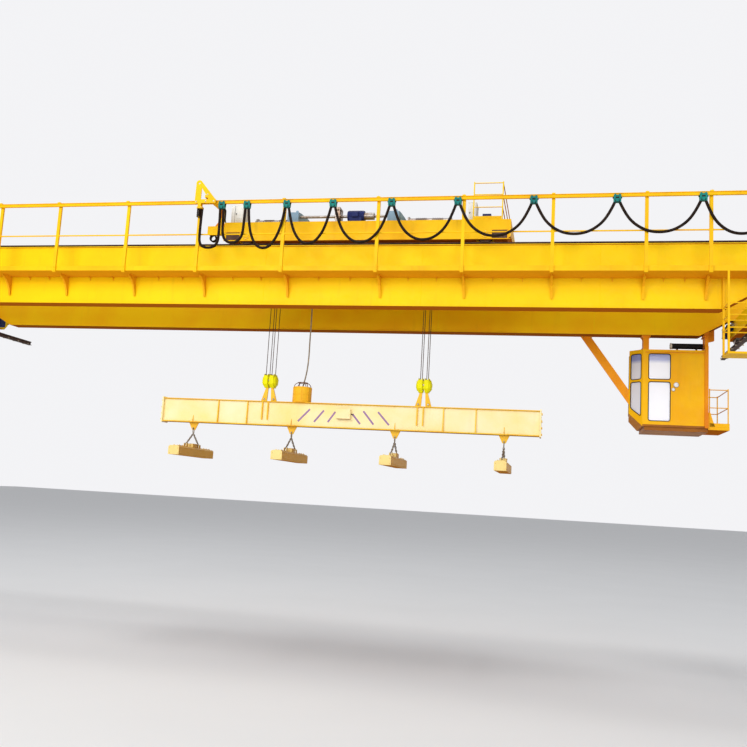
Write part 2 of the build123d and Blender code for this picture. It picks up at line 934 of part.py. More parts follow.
door_x = cab_right - cab_wall / 2 - door_thickness / 2
leaf = block(
    door_x, door_x + door_thickness,
    door_middle - door_width / 2 + door_gap, door_middle + door_width / 2 - door_gap,
    door_bottom + door_gap, door_bottom + door_height - door_gap,
)
door_pane_width = door_width - 2 * door_window_margin
leaf -= window(door_plane, door_pane_width, *door_window, 3 * cab_wall)
panes.append(window(door_plane, door_pane_width, *door_window, pane_thickness))
hinge_y = door_middle + door_width / 2
hinge_out = cab_right + hinge_thickness
for share in (0.13, 0.5, 0.87):
    z = door_bottom + share * door_height
    low = z - hinge_height / 2
    high = z + hinge_height / 2
    leaf += block(door_x + door_thickness, hinge_out, hinge_y - hinge_strap, hinge_y - door_gap, low, high)
    leaf += block(cab_right, hinge_out, hinge_y - door_gap, hinge_y + hinge_reach, low, high)
save("cab_door", leaf)
save("cab_panes", *panes)


# Cab hangers: two frames across the roof, posts up to the girder, the corner post and the brace

def girder_underside(x):
    """Height of the girder's underside at a place along the span, over the right haunch."""
    start = span - haunch_start
    slope = (haunch_height - girder_bottom) / (haunch_start - haunch_end)
    return girder_bottom + max(0, x - start) * slope


def hanger(x0, x1, y0, y1, z0, flare):
    """A post with a flared head that meets the girder's underside, level or slanting."""
    outline = [
        (x0, z0), (x1, z0), (x1, girder_underside(x1) - hanger_head),
        (x1 + flare, girder_underside(x1 + flare) - hanger_lip), (x1 + flare, girder_underside(x1 + flare)),
        (x0 - flare, girder_underside(x0 - flare)), (x0 - flare, girder_underside(x0 - flare) - hanger_lip),
        (x0, girder_underside(x0) - hanger_head),
    ]
    return along_y(outline, y0, y1)


post_left = cab_left
post_right = cab_right - cab_right_post
roof_beam = cab_roof + roof_frame_height
post_far = girder_far_face - hanger_lip
hangers = block(post_left, post_left + cab_post, cab_near, cab_far, cab_roof, roof_beam)
hangers += block(post_right, cab_right, cab_near, cab_far, cab_roof, roof_beam)
for y in (cab_near, post_far - cab_post_depth):
    hangers += hanger(post_left, post_left + cab_post, y, y + cab_post_depth, roof_beam, hanger_flare)
    hangers += hanger(post_right, cab_right, y, y + cab_post_depth, roof_beam, hanger_lip)
hangers += block(post_right, cab_right, cab_near - corner_post_depth, cab_near, cab_floor, roof_beam)
gusset_length, gusset_low, gusset_tip = haunch_gusset
gusset_end = cab_right + gusset_length
hangers += along_y(
    [
        (cab_right, gusset_low), (gusset_end, gusset_tip),
        (gusset_end, girder_underside(gusset_end)), (cab_right, girder_underside(cab_right)),
    ],
    post_far - cab_post_depth, post_far,
)
brace_top = cab_left - brace_foot_from_cab
run = nose_x - brace_top
fall = brace_end_height - girder_bottom
long = hypot(run, fall)
across = brace_width / 2 * long / abs(fall)
along = brace_width / 2 * long / abs(run)
past_nose = cab_nose / 2
drop = fall / run * past_nose
brace = along_y(
    [
        (brace_top - across, girder_bottom), (brace_top + across, girder_bottom),
        (nose_x + past_nose, brace_end_height + along + drop),
        (nose_x + past_nose, brace_end_height - along + drop),
    ],
    nose_y, nose_y + brace_thickness,
)
brace -= cab_solid(0, cab_floor, cab_roof)
save("cab_hangers", hangers, brace)


# Balcony at the cab door: floor, knee plate and tubular railing

def railing(points, z0, z1, middle_rails, diameter):
    """Posts at the given points, joined by a top rail and evenly spaced middle rails."""
    tubes = bar((*points[0], z0), (*points[0], z1), diameter)
    for point in points[1:]:
        tubes += bar((*point, z0), (*point, z1), diameter)
    for a, b in zip(points, points[1:]):
        for i in range(middle_rails + 1):
            z = z1 - i * (z1 - z0) / (middle_rails + 1) - diameter * (i == 0)
            tubes += bar((*a, z), (*b, z), 0.8 * diameter)
    return tubes


balcony_end = cab_right + balcony_length
edge = rail_tube
balcony_low = balcony_floor_top - balcony_floor_depth
balcony = block(cab_right, balcony_end, cab_near, cab_far, balcony_low, balcony_floor_top)
balcony += along_y(
    [
        (cab_right, balcony_floor_top), (cab_right + knee_length, balcony_floor_top),
        (cab_right + knee_top, balcony_floor_top + knee_height), (cab_right, balcony_floor_top + knee_height),
    ],
    cab_near, cab_near + knee_thickness,
)
rail_line = [
    (cab_right + rail_from_cab, cab_near + edge), (balcony_end - edge, cab_near + edge),
    (balcony_end - edge, cab_far - edge), (cab_right + rail_from_cab, cab_far - edge),
]
balcony += railing(rail_line, balcony_floor_top, balcony_rail_top, 1, rail_tube)
save("cab_balcony", balcony)


# Cage under the near walkway, beside the right end carriage

cage_near = walkway_near_edge + cage_post / 2
cage_far = girder_near_face - cage_post
cage = block(
    cage_left, cage_right, cage_near - cage_floor_lip, cage_far + cage_floor_lip,
    cage_floor - cage_floor_thickness, cage_floor,
)
cage_top = walkway_floor - walkway_plate
corners = [
    (cage_left + cage_post / 2, cage_near), (cage_right - cage_post / 2, cage_near),
    (cage_right - cage_post / 2, cage_far), (cage_left + cage_post / 2, cage_far),
]
for x, y in corners:
    half = cage_post / 2
    cage += block(x - half, x + half, y - half, y + half, cage_floor, cage_top)
for z in cage_rails:
    for (xa, ya), (xb, yb) in zip(corners, corners[1:] + corners[:1]):
        cage += bar((xa, ya, z), (xb, yb, z), rail_tube)
save("collector_cage", cage)


# Trolley frame: two side beams with wheel pockets, cross beams and a deck with rope openings

side_top = trolley_frame_top


def side_beam(side):
    y0 = side * girder_y - trolley_beam_width / 2
    y1 = side * girder_y + trolley_beam_width / 2
    cut = trolley_end_cut
    outline = [
        (trolley_left, trolley_frame_bottom + cut), (trolley_left + cut, trolley_frame_bottom),
        (trolley_right - cut, trolley_frame_bottom), (trolley_right, trolley_frame_bottom + cut),
        (trolley_right, side_top), (trolley_left, side_top),
    ]
    beam = along_y(outline, y0, y1)
    reach = trolley_wheel_diameter / 2 + wheel_flange_depth + wheel_pocket_gap
    pocket = trolley_rail_head / 2 + trolley_wheel_play + wheel_flange_width + wheel_pocket_gap
    for x in wheel_spots:
        beam -= block(x - reach, x + reach, side * girder_y - pocket, side * girder_y + pocket,
                      trolley_frame_bottom - 1, trolley_wheel_middle + reach)
        beam -= y_cylinder(x, y0 - 1, y1 + 1, trolley_wheel_middle, wheel_bore + 2 * gap)
    return beam


wheel_spots = (trolley_left + trolley_wheel_inset, trolley_right - trolley_wheel_inset)
save("trolley_side_beams", side_beam(-1), side_beam(1))


def trolley_wheel(x, y):
    rim = trolley_wheel_diameter / 2
    half_tread = trolley_rail_head / 2 + trolley_wheel_play
    half = half_tread + wheel_flange_width
    out = trolley_beam_width / 2
    profile = [
        (0, -out), (wheel_bore / 2, -out), (wheel_bore / 2, -half), (rim + wheel_flange_depth, -half),
        (rim + wheel_flange_depth, -half_tread), (rim, -half_tread), (rim, half_tread),
        (rim + wheel_flange_depth, half_tread), (rim + wheel_flange_depth, half),
        (wheel_bore / 2, half), (wheel_bore / 2, out), (0, out),
    ]
    return turned(profile, (x, y, trolley_wheel_middle), (0, 1, 0))


save("trolley_wheels", *[trolley_wheel(x, side * girder_y) for x in wheel_spots for side in (-1, 1)])

inner = girder_y - trolley_beam_width / 2
under_deck = side_top - deck_thickness
deck = block(trolley_left, trolley_right, -inner, inner, under_deck, side_top)
for x in hook_spots:
    deck -= block(x - rope_opening_length / 2, x + rope_opening_length / 2,
                  -rope_opening_width / 2, rope_opening_width / 2, under_deck - 1, side_top + 1)
gland_x = hoist_middle + basket_from_middle + gland_from_basket
deck += bar((gland_x, gland_y, under_deck - gland_length), (gland_x, gland_y, under_deck + 1), gland_diameter)
save("trolley_deck", deck)
cross_spots = (
    trolley_left + cross_beam_width / 2, hook_left + cross_inside_hook, hook_right - cross_inside_hook,
    hook_right + cross_outside_hook, trolley_right - cross_beam_width / 2,
)
cross_beams = []
for x in cross_spots:
    left = x - cross_beam_width / 2
    right = x + cross_beam_width / 2
    cross_beams.append(block(left, right, -inner, inner, under_deck - cross_beam_depth, under_deck))
save("trolley_cross_beams", *cross_beams)


# Hoist drums with a left-hand and a right-hand groove zone, on pedestals

def drum(x):
    core = drum_diameter / 2 - rope_diameter / 2 + groove_depth - 2
    half = drum_length / 2
    flange = core + drum_flange_rise
    groove_half = groove_pitch * 0.36
    outline = [(0, -half), (flange, -half), (flange, drum_flange - half), (core, drum_flange - half)]
    spots = [fall_spread / 2 + i * groove_pitch for i in range(drum_grooves)]
    for spot in sorted([-a for a in spots] + spots):
        outline += [(core, spot - groove_half), (core - groove_depth, spot), (core, spot + groove_half)]
    outline += [(core, half - drum_flange), (flange, half - drum_flange), (flange, half), (0, half)]
    return turned(outline, (x, drum_y, drum_height), (1, 0, 0))


def pedestal(x0, x1, y, z, width, top_width, base):
    """A bearing pedestal with a round cap about its shaft."""
    sides = [(y - width / 2, base), (y + width / 2, base), (y + top_width / 2, z), (y - top_width / 2, z)]
    return along_x(sides, x0, x1) + x_cylinder(x0, x1, y, z, top_width)


drum_half = drum_length / 2
end_reach = drum_half + stand_gap
gear_faces = (hook_left + end_reach, hook_right - end_reach)
stand_left = hook_left - end_reach - stand_thickness
stand_right = hook_right + end_reach
stands = [
    pedestal(x, x + stand_thickness, drum_y, drum_height, stand_foot, stand_top, side_top)
    for x in (stand_left, stand_right)
]
save("hoist_drums", drum(hook_left), drum(hook_right))
shafts = []
for x, outer in ((hook_left, -1), (hook_right, 1)):
    journal = x + outer * drum_half
    coupling = x - outer * drum_half
    shafts.append(x_cylinder(journal, journal + outer * stand_gap, drum_y, drum_height, drum_journal))
    shafts.append(x_cylinder(coupling, coupling - outer * stand_gap, drum_y, drum_height, drum_coupling))


def gearbox(x0, x1):
    """A gearcase that steps up from the line shaft to the drum shaft."""
    near = line_shaft_y - gearcase_near
    far = drum_y + gearcase_far
    crown = drum_height + gearcase_crown
    step_y, step_z = gearcase_step
    outline = [
        (near, side_top), (far, side_top), (far, drum_height),
        (drum_y + gearcase_crown_far, crown), (drum_y - gearcase_crown_near, crown),
        (line_shaft_y + step_y, line_shaft_height + step_z), (near, line_shaft_height + gearcase_low_rise),
    ]
    case = along_x(outline, x0, x1)
    lip = gearcase_flange_lip
    flange = block(x0 - lip, x1 + lip, near - lip, far + lip, side_top, side_top + gearcase_flange)
    return case + flange


gearboxes = [
    gearbox(gear_faces[0], gear_faces[0] + gearbox_length),
    gearbox(gear_faces[1] - gearbox_length, gear_faces[1]),
]
save("hoist_gearboxes", *gearboxes)

# Line shaft with the motor in its middle, a drum brake on its left and a coupling on its right

motor_left = hoist_middle + motor_from_middle
motor_right = motor_left + motor_length
shaft_left = gear_faces[0] + gearbox_length
shaft_right = gear_faces[1] - gearbox_length
motor = x_cylinder(motor_left, motor_right, line_shaft_y, line_shaft_height, motor_diameter)
motor += block(
    motor_left + motor_foot, motor_right - motor_foot,
    line_shaft_y - motor_foot_width / 2, line_shaft_y + motor_foot_width / 2, side_top, line_shaft_height,
)
box_start, terminal_length, terminal_depth, terminal_height = terminal_box
terminal_y = line_shaft_y - motor_diameter / 2 + motor_foot - terminal_depth
motor += block(
    motor_left + box_start, motor_left + box_start + terminal_length, terminal_y, line_shaft_y - motor_foot,
    line_shaft_height - terminal_height / 2, line_shaft_height + terminal_height / 2,
)
brake_right = hoist_middle + brake_from_middle
brake_left = brake_right - brake_width
brake_side = brake_base_width / 2
brake_near = line_shaft_y - brake_side
brake_far = line_shaft_y + brake_side
arm_left = brake_left + brake_arm
arm_right = arm_left + brake_arm_length
arm_top = line_shaft_height + brake_side
brake = x_cylinder(brake_left, brake_right, line_shaft_y, line_shaft_height, brake_diameter)
brake += block(brake_left, brake_right, brake_near, brake_far, side_top, side_top + brake_base_height)
for y in (brake_near, brake_far - brake_arm):
    brake += block(arm_left, arm_right, y, y + brake_arm, side_top, arm_top)
brake += block(arm_left, arm_right, brake_near, brake_far, arm_top, arm_top + brake_head)
brake += x_cylinder(shaft_left, brake_left, line_shaft_y, line_shaft_height, line_shaft_diameter)
brake += x_cylinder(brake_right, motor_left, line_shaft_y, line_shaft_height, line_shaft_diameter)
coupling_length, coupling_diameter = shaft_coupling
coupling_right = motor_right + coupling_length
output = x_cylinder(motor_right, coupling_right, line_shaft_y, line_shaft_height, coupling_diameter)
output += x_cylinder(coupling_right, shaft_right, line_shaft_y, line_shaft_height, line_shaft_diameter)
save("hoist_shafts", brake, output, *shafts)

# Travel motor of the trolley, control cabinet and railing

travel_x = wheel_spots[1]
drive_y = -girder_y + trolley_beam_width / 2
drive_width, drive_length, drive_height = trolley_drive
case_end = drive_y + drive_length
travel = block(
    travel_x - drive_width / 2, travel_x + drive_width / 2, drive_y, case_end,
    side_top, side_top + drive_height,
)
travel += y_cylinder(
    travel_x, case_end, case_end + trolley_motor_length, side_top + drive_height / 2, trolley_motor_diameter,
)
save("trolley_motors", motor, travel)
cabinet_length, cabinet_depth, cabinet_height = cabinet_size
cabinet_x = trolley_right - cabinet_from_end
cabinet = block(
    cabinet_x - cabinet_length / 2, cabinet_x + cabinet_length / 2,
    cabinet_y - cabinet_depth / 2, cabinet_y + cabinet_depth / 2, side_top, side_top + cabinet_height,
)
boxes = []
for start, length, height in (small_cabinet, side_cabinet):
    left = trolley_left + start
    boxes.append(block(left, left + length, *small_cabinet_y, side_top, side_top + height))
save("control_cabinets", cabinet, *boxes)
rail_near = -girder_y - trolley_beam_width / 3
rail_far = girder_y - railing_from_far_rail
rail_right = trolley_right - railing_from_end
rail_left = rail_right - railing_length
rail_points = [
    (rail_left, rail_near), (rail_right, rail_near),
    (rail_right, rail_far), (rail_left, rail_far),
]
save("trolley_railing", railing(rail_points, side_top, side_top + trolley_railing_height, 2, rail_tube))


# Equalizer sheaves over the rope openings, between two bearing plates

def sheave(origin, axis, pitch_diameter):
    """A grooved rope sheave turned about its pin."""
    tread = pitch_diameter / 2 - rope_diameter / 2 - gap
    rim = tread + sheave_rim
    seat = rope_diameter / 2 + 1
    half = sheave_width / 2
    profile = [(0, -half), (rim, -half), (tread, -seat), (tread, seat), (rim, half), (0, half)]
    return turned(profile, origin, axis)


equalizers = []
sheave_z = side_top + equalizer_above_deck
opening_half = rope_opening_length / 2
foot_in, foot_out = equalizer_foot
web_reach, web_drop = equalizer_web
for x in hook_spots:
    equalizers.append(sheave((x, fall_y, sheave_z), (0, 1, 0), fall_spread))
    for y in (fall_y - sheave_width / 2 - equalizer_plate, fall_y + sheave_width / 2):
        right_edge = [
            (web_reach, sheave_z - web_drop), (opening_half - foot_in, side_top),
            (opening_half + foot_out, side_top), (equalizer_head, sheave_z + equalizer_head),
        ]
        left_edge = [(-a, z) for a, z in reversed(right_edge)]
        outline = [(x + a, z) for a, z in right_edge + left_edge]
        stands.append(along_y(outline, y, y + equalizer_plate))
save("equalizer_sheaves", *equalizers)
save("hoist_stands", *stands)

# Tow arm: mast on the trolley, outrigger over the posts and the triangular frame at the track

outrigger_bottom = track_top + post_cap_rise + outrigger_clearance
outrigger_top = outrigger_bottom + outrigger_depth
mast_left = trolley_left - mast_from_trolley - mast_width
mast_right = mast_left + mast_width
mast_y = -girder_y - mast_depth / 2
arm_low = trolley_frame_bottom + tow_arm_above_wheels
arm_high = arm_low + tow_arm_depth
arm_side = tow_arm_width / 2
plate_back = track_y - track_width / 2 - tow_plate_from_track
plate_front = plate_back - tow_plate_thickness
plate_left = tow_arm_left - tow_plate_past_arm
plate_right = plate_left + tow_plate_length
plate_base = track_bottom - tow_plate_below_track
plate_top = plate_base + tow_plate_height
apex_radius = tow_apex_diameter / 2
apex_x = plate_left + tow_apex_from_edge
apex_z = plate_top - apex_radius
shoulder_z = apex_z + apex_radius / 2
tow_arm = block(tow_arm_left, trolley_left, -girder_y - arm_side, -girder_y + arm_side, arm_low, arm_high)
tow_arm += block(mast_left, mast_right, mast_y, mast_y + mast_depth, arm_high, outrigger_top)
tow_arm += block(mast_left, mast_right, plate_back, mast_y, outrigger_bottom, outrigger_top)
outline = [
    (plate_left, plate_base), (plate_right, plate_base), (plate_right, plate_base + tow_plate_edge),
    (apex_x + tow_apex_shoulder, shoulder_z), (apex_x - tow_apex_shoulder, shoulder_z),
    (plate_left, plate_base + tow_opening_rise),
]
open_left = apex_x - tow_plate_edge / 6
open_low = plate_base + tow_opening_rise
opening = [(open_left, open_low), (open_left + tow_opening, open_low), (open_left, open_low + tow_opening)]
plate = along_y(outline, plate_front, plate_back)
plate += y_cylinder(apex_x, plate_front, plate_back, apex_z, tow_apex_diameter)
plate -= y_cylinder(apex_x, plate_front - 1, plate_back + 1, apex_z, tow_hole_diameter)
plate -= along_y(opening, plate_front - 1, plate_back + 1)
tow_arm += plate
half = tow_leg_width / 2
tow_arm += block(tow_clamp - half, tow_clamp + half, plate_front, plate_back, clamp_bottom, plate_base)
half = tow_clamp_length / 2
clamp_top = clamp_bottom + tow_clamp_height
track_far = track_y + track_width / 2
tow_arm += block(tow_clamp - half, tow_clamp + half, plate_back, track_far, clamp_bottom, clamp_top)
save("tow_arm", tow_arm)


# Hoist ropes: four falls to each hook block

block_middle = block_bottom + block_height / 2
falls = []
for hook_x in hook_spots:
    for x in (hook_x - fall_spread / 2, hook_x + fall_spread / 2):
        falls.append(bar((x, -fall_y, block_middle), (x, -fall_y, drum_height), rope_diameter))
        falls.append(bar((x, fall_y, block_middle), (x, fall_y, sheave_z), rope_diameter))
save("hoist_ropes", *falls)


# Hook blocks: two cheek housings on a crosshead, a sheave in each, and the lug plates below

def cheek(x, side):
    """One sheave housing: a rounded shell open at the top for the two falls of rope."""
    x0, x1 = sorted((x + side * block_gap / 2, x + side * block_width / 2))
    half = block_depth / 2
    low = block_bottom
    high = block_bottom + block_height
    cut = block_low_chamfer
    top_cut = block_top_chamfer
    outline = [
        (-half, low + cut), (-half + cut, low), (half - cut, low), (half, low + cut),
        (half, high - top_cut), (half - top_cut, high), (-half + top_cut, high), (-half, high - top_cut),
    ]
    t = block_wall
    hollow = [
        (-half + t, low + cut), (-half + cut, low + t), (half - cut, low + t), (half - t, low + cut),
        (half - t, high + 1), (-half + t, high + 1),
    ]
    return along_x(outline, x0, x1) - along_x(hollow, x0 + t, x1 - t)


cheeks = []
block_sheaves = []
lugs = []
for x in hook_spots:
    head = block(
        x - block_gap / 2, x + block_gap / 2, -head_depth / 2, head_depth / 2,
        block_bottom + head_bottom, block_bottom + head_top,
    )
    cheeks.append(cheek(x, -1) + head + cheek(x, 1))
    for side in (-1, 1):
        ends = sorted((x + side * (block_gap / 2 + block_wall), x + side * (block_width / 2 - block_wall)))
        pin = x_cylinder(*ends, 0, block_middle, block_pin)
        sheave_place = (x + side * fall_spread / 2, 0, block_middle)
        block_sheaves.append(sheave(sheave_place, (1, 0, 0), sheave_diameter) + pin)
        outline = [
            (x + side * lug_top[0], block_bottom), (x + side * lug_top[1], block_bottom),
            (x + side * lug_foot[1], beam_top), (x + side * lug_foot[0], beam_top),
        ]
        lugs.append(along_y(outline, -lug_thickness / 2, lug_thickness / 2))
save("hook_cheeks", *cheeks)
save("block_sheaves", *block_sheaves)


# Lifting beam with its flanges, end plates, ribs and control box

beam_left = hoist_middle - beam_length / 2
beam_right = hoist_middle + beam_length / 2
web_half = beam_width / 2 - beam_web_inset
beam = block(beam_left, beam_right, -web_half, web_half, beam_bottom, beam_top)
for z in (beam_top - beam_flange, beam_bottom):
    beam += block(beam_left, beam_right, -beam_width / 2, beam_width / 2, z, z + beam_flange)
plate_half = beam_width / 2 + beam_end_lip
for x, side in ((beam_left, -1), (beam_right, 1)):
    ends = sorted((x, x + side * beam_end_plate))
    beam += block(*ends, -plate_half, plate_half, beam_bottom - beam_end_lip, beam_top + beam_end_lip)
rib_low = beam_bottom + beam_flange
rib_high = beam_top - beam_flange
for spot in rib_spots:
    for x in (hoist_middle - spot, hoist_middle + spot):
        for side in (-1, 1):
            rib = [
                (side * web_half, rib_low), (side * beam_width / 2, rib_low),
                (side * (web_half + rib_top_reach), rib_high), (side * web_half, rib_high),
            ]
            beam += along_x(rib, x - rib_thickness / 2, x + rib_thickness / 2)
save("lifting_beam", beam)

box_left = hoist_middle + box_from_middle
box_top = beam_top - box_below_top
control_box = block(
    box_left, box_left + box_length, -web_half - box_depth, -web_half, box_top - box_height, box_top,
)
save("beam_box", control_box)

basket_x = hoist_middle + basket_from_middle
basket_middle = beam_top + basket_height / 2
basket = Pos(basket_x, 0, basket_middle) * Cylinder(basket_diameter / 2, basket_height)
inner_radius = basket_diameter / 2 - basket_wall
basket -= Pos(basket_x, 0, basket_middle + basket_wall) * Cylinder(inner_radius, basket_height)
save("cable_basket", basket)

# Cable of the magnets, hanging from the trolley into the basket

route = [
    (gland_x, gland_y, under_deck - gland_length + 8), (gland_x + 12, gland_y + 2, 2150),
    (gland_x + 4, gland_y - 2, 1640), (gland_x - 6, gland_y + 2, 1130),
    (gland_x + 6, gland_y, 620), (gland_x + 14, gland_y - 4, 110),
    (gland_x + 6, gland_y, -400), (gland_x + 12, gland_y + 2, -910),
    (gland_x - 10, gland_y - 4, -1330), (gland_x - 62, 20, -1660),
    (gland_x - 130, 0, -1960), (gland_x - 150, -10, beam_top + 24),
]
save("magnet_cable", below(hanging_tube(route, magnet_cable_diameter), under_deck - gland_length))


# Magnets: bar magnets across the beam, hung on plates and chain slings

magnet_top = magnet_bottom + magnet_height
plates = []
slings = []
bars = []
tip = beam_bottom - hanger_height
pin_z = tip + hanger_pin_from_tip
link_low = tip - sling_ring
shackle_half = shackle_width / 2
cheek_y = hanger_thickness / 2 + gap
for x in magnet_spots:
    plate = along_y(
        [
            (x - hanger_top_width / 2, beam_bottom), (x + hanger_top_width / 2, beam_bottom),
            (x + hanger_tip_width / 2, tip), (x - hanger_tip_width / 2, tip),
        ],
        -hanger_thickness / 2, hanger_thickness / 2,
    )
    plate -= y_cylinder(x, -shackle_half, shackle_half, pin_z, hanger_pin)
    plates.append(plate)
    left = x - shackle_bar / 2
    right = x + shackle_bar / 2
    sling = y_cylinder(x, -shackle_half, shackle_half, pin_z, hanger_pin - 2 * gap)
    sling += block(left, right, -shackle_half, -cheek_y, link_low, pin_z)
    sling += block(left, right, cheek_y, shackle_half, link_low, pin_z)
    sling += block(left, right, -shackle_half, shackle_half, link_low - shackle_foot, link_low)
    for side in (-1, 1):
        foot = (x, side * sling_lug_spacing / 2, magnet_top + sling_pin_height)
        sling += bar((x, side * shackle_half / 2, link_low - shackle_foot / 2), foot, chain_diameter)
        sling += x_cylinder(x - ear_spread / 2, x + ear_spread / 2, foot[1], foot[2], sling_pin)
    slings.append(sling)
    body = block(
        x - magnet_width / 2, x + magnet_width / 2, -magnet_length / 2, magnet_length / 2,
        magnet_bottom, magnet_top,
    )
    body = chamfer(body.edges().filter_by(Axis.Y).group_by(Axis.Z)[-1], magnet_chamfer)
    for y in (-sling_lug_spacing / 2, sling_lug_spacing / 2):
        ear = [
            (y - ear_foot / 2, magnet_top), (y + ear_foot / 2, magnet_top),
            (y + ear_top / 2, magnet_top + ear_height), (y - ear_top / 2, magnet_top + ear_height),
        ]
        body += along_x(ear, x - ear_spread / 2 - ear_thickness, x - ear_spread / 2)
        body += along_x(ear, x + ear_spread / 2, x + ear_spread / 2 + ear_thickness)
    bars.append(body)
save("beam_lugs", *lugs, *plates)
save("magnet_slings", *slings)
save("magnets", *bars)
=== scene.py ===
import math
from itertools import product

import bmesh
import bpy
from mathutils import Matrix, Vector


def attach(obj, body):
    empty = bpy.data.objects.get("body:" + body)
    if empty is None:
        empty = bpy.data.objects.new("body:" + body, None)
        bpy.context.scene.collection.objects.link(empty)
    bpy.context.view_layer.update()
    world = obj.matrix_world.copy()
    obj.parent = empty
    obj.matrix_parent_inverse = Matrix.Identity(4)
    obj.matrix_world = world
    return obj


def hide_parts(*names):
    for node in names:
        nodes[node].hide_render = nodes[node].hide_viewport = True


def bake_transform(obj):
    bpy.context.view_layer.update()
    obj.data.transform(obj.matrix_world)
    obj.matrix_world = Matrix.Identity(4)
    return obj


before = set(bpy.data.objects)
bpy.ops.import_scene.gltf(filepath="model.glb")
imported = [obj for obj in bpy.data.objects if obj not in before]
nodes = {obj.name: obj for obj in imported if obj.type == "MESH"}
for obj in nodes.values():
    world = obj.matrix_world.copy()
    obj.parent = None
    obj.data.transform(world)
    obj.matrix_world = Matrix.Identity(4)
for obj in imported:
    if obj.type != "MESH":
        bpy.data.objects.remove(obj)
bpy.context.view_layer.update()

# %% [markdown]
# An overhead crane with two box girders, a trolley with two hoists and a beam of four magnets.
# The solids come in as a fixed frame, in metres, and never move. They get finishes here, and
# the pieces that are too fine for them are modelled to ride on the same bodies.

# %% [markdown]
# The camera stands low on the shop floor, looks up along the runway, and is turned and rolled a
# little, as the girders' edges show. Its three axes are set as the columns of its matrix.

# %% Camera
picture_width, focal_pixels = 747, 850
camera_place = (20.36, -24.735, -4.926)
yaw, pitch, roll = math.radians(-12.58), math.radians(7.94), math.radians(3.31)
forward = Vector((math.sin(yaw) * math.cos(pitch), math.cos(yaw) * math.cos(pitch), math.sin(pitch)))
level_right = Vector((math.cos(yaw), -math.sin(yaw), 0))
level_up = level_right.cross(forward)
right = level_right * math.cos(roll) + level_up * math.sin(roll)
up = level_up * math.cos(roll) - level_right * math.sin(roll)
camera_data = bpy.data.cameras.new("camera")
camera_data.sensor_width = 36
camera_data.lens = focal_pixels / picture_width * camera_data.sensor_width
camera_data.clip_end = 400
camera = bpy.data.objects.new("camera", camera_data)
turned_camera = Matrix((right, up, -forward)).transposed().to_4x4()
camera.matrix_world = Matrix.Translation(camera_place) @ turned_camera
bpy.context.scene.collection.objects.link(camera)
bpy.context.scene.camera = camera
print("camera at", [round(v, 2) for v in camera.location])

# %% [markdown]
# One helper turns a bmesh into a piece that rides on the body that carries it in the crane. A
# piece that stretches between two bodies gets no body here.

# %% Pieces from meshes
def piece(name, bm, body, material, smooth_angle=35):
    """A finished piece at the origin, with a line that says how many faces it has."""
    bmesh.ops.recalc_face_normals(bm, faces=bm.faces)
    mesh = bpy.data.meshes.new(name)
    bm.to_mesh(mesh)
    bm.free()
    mesh.polygons.foreach_set("use_smooth", [True] * len(mesh.polygons))
    mesh.set_sharp_from_angle(angle=math.radians(smooth_angle))
    mesh.materials.append(material)
    obj = bpy.data.objects.new(name, mesh)
    bpy.context.scene.collection.objects.link(obj)
    if body:
        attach(obj, body)
    print(name, "rides on", body, "with", len(mesh.polygons), "faces")
    return obj


def loose_mesh(bm):
    """The mesh of a small part that is copied into a piece many times."""
    mesh = bpy.data.meshes.new("part")
    bm.to_mesh(mesh)
    bm.free()
    return mesh


def add_copy(bm, mesh, matrix):
    """Adds a copy of a mesh to a bmesh, put in place by a matrix."""
    copied = mesh.copy()
    copied.transform(matrix)
    bm.from_mesh(copied)
    bpy.data.meshes.remove(copied)


print("piece helpers ready")

# %% [markdown]
# Four shapes make nearly every piece: a box, an outline extruded into a slab, a round rod, and
# a half outline spun about an axis. Each one uses the bmesh operator of that name.

# %% Boxes and slabs
def box(bm, corner, opposite, bevel=0.0, segments=1):
    """A box between two opposite corners, with its edges rounded by the bevel."""
    low, high = (Vector(ends) for ends in zip(*map(sorted, zip(corner, opposite))))
    made = bmesh.ops.create_cube(bm, size=1)["verts"]
    bmesh.ops.scale(bm, vec=high - low, verts=made)
    bmesh.ops.translate(bm, vec=(low + high) / 2, verts=made)
    if bevel > 0:
        edges = list({edge for vert in made for edge in vert.link_edges})
        bmesh.ops.bevel(
            bm, geom=edges, offset=bevel, segments=segments, profile=0.5, affect="EDGES", material=-1,
        )


def slab(bm, outline, start, end, axis):
    """An outline in the other two directions, extruded along X, Y or Z."""
    spot = "XYZ".index(axis)
    corners = [(*pair[:spot], start, *pair[spot:]) for pair in outline]
    face = bm.faces.new([bm.verts.new(corner) for corner in corners])
    grown = bmesh.ops.extrude_face_region(bm, geom=[face])["geom"]
    moved = [item for item in grown if isinstance(item, bmesh.types.BMVert)]
    way = [0, 0, 0]
    way[spot] = end - start
    bmesh.ops.translate(bm, vec=way, verts=moved)


print("boxes and slabs ready")

# %% Rods, turned shapes and bolts
along_x, along_z = (1, 0, 0), (0, 0, 1)


def line_frame(start, end):
    """A matrix whose Z runs from start towards end."""
    turn = (Vector(end) - Vector(start)).to_track_quat("Z", "Y").to_matrix().to_4x4()
    return Matrix.Translation(start) @ turn


def rod(bm, start, end, radius, sides=12):
    """A round rod between two points."""
    length = (Vector(end) - Vector(start)).length
    bmesh.ops.create_cone(
        bm, cap_ends=True, segments=sides, radius1=radius, radius2=radius, depth=length,
        matrix=line_frame(start, end) @ Matrix.Translation((0, 0, length / 2)),
    )


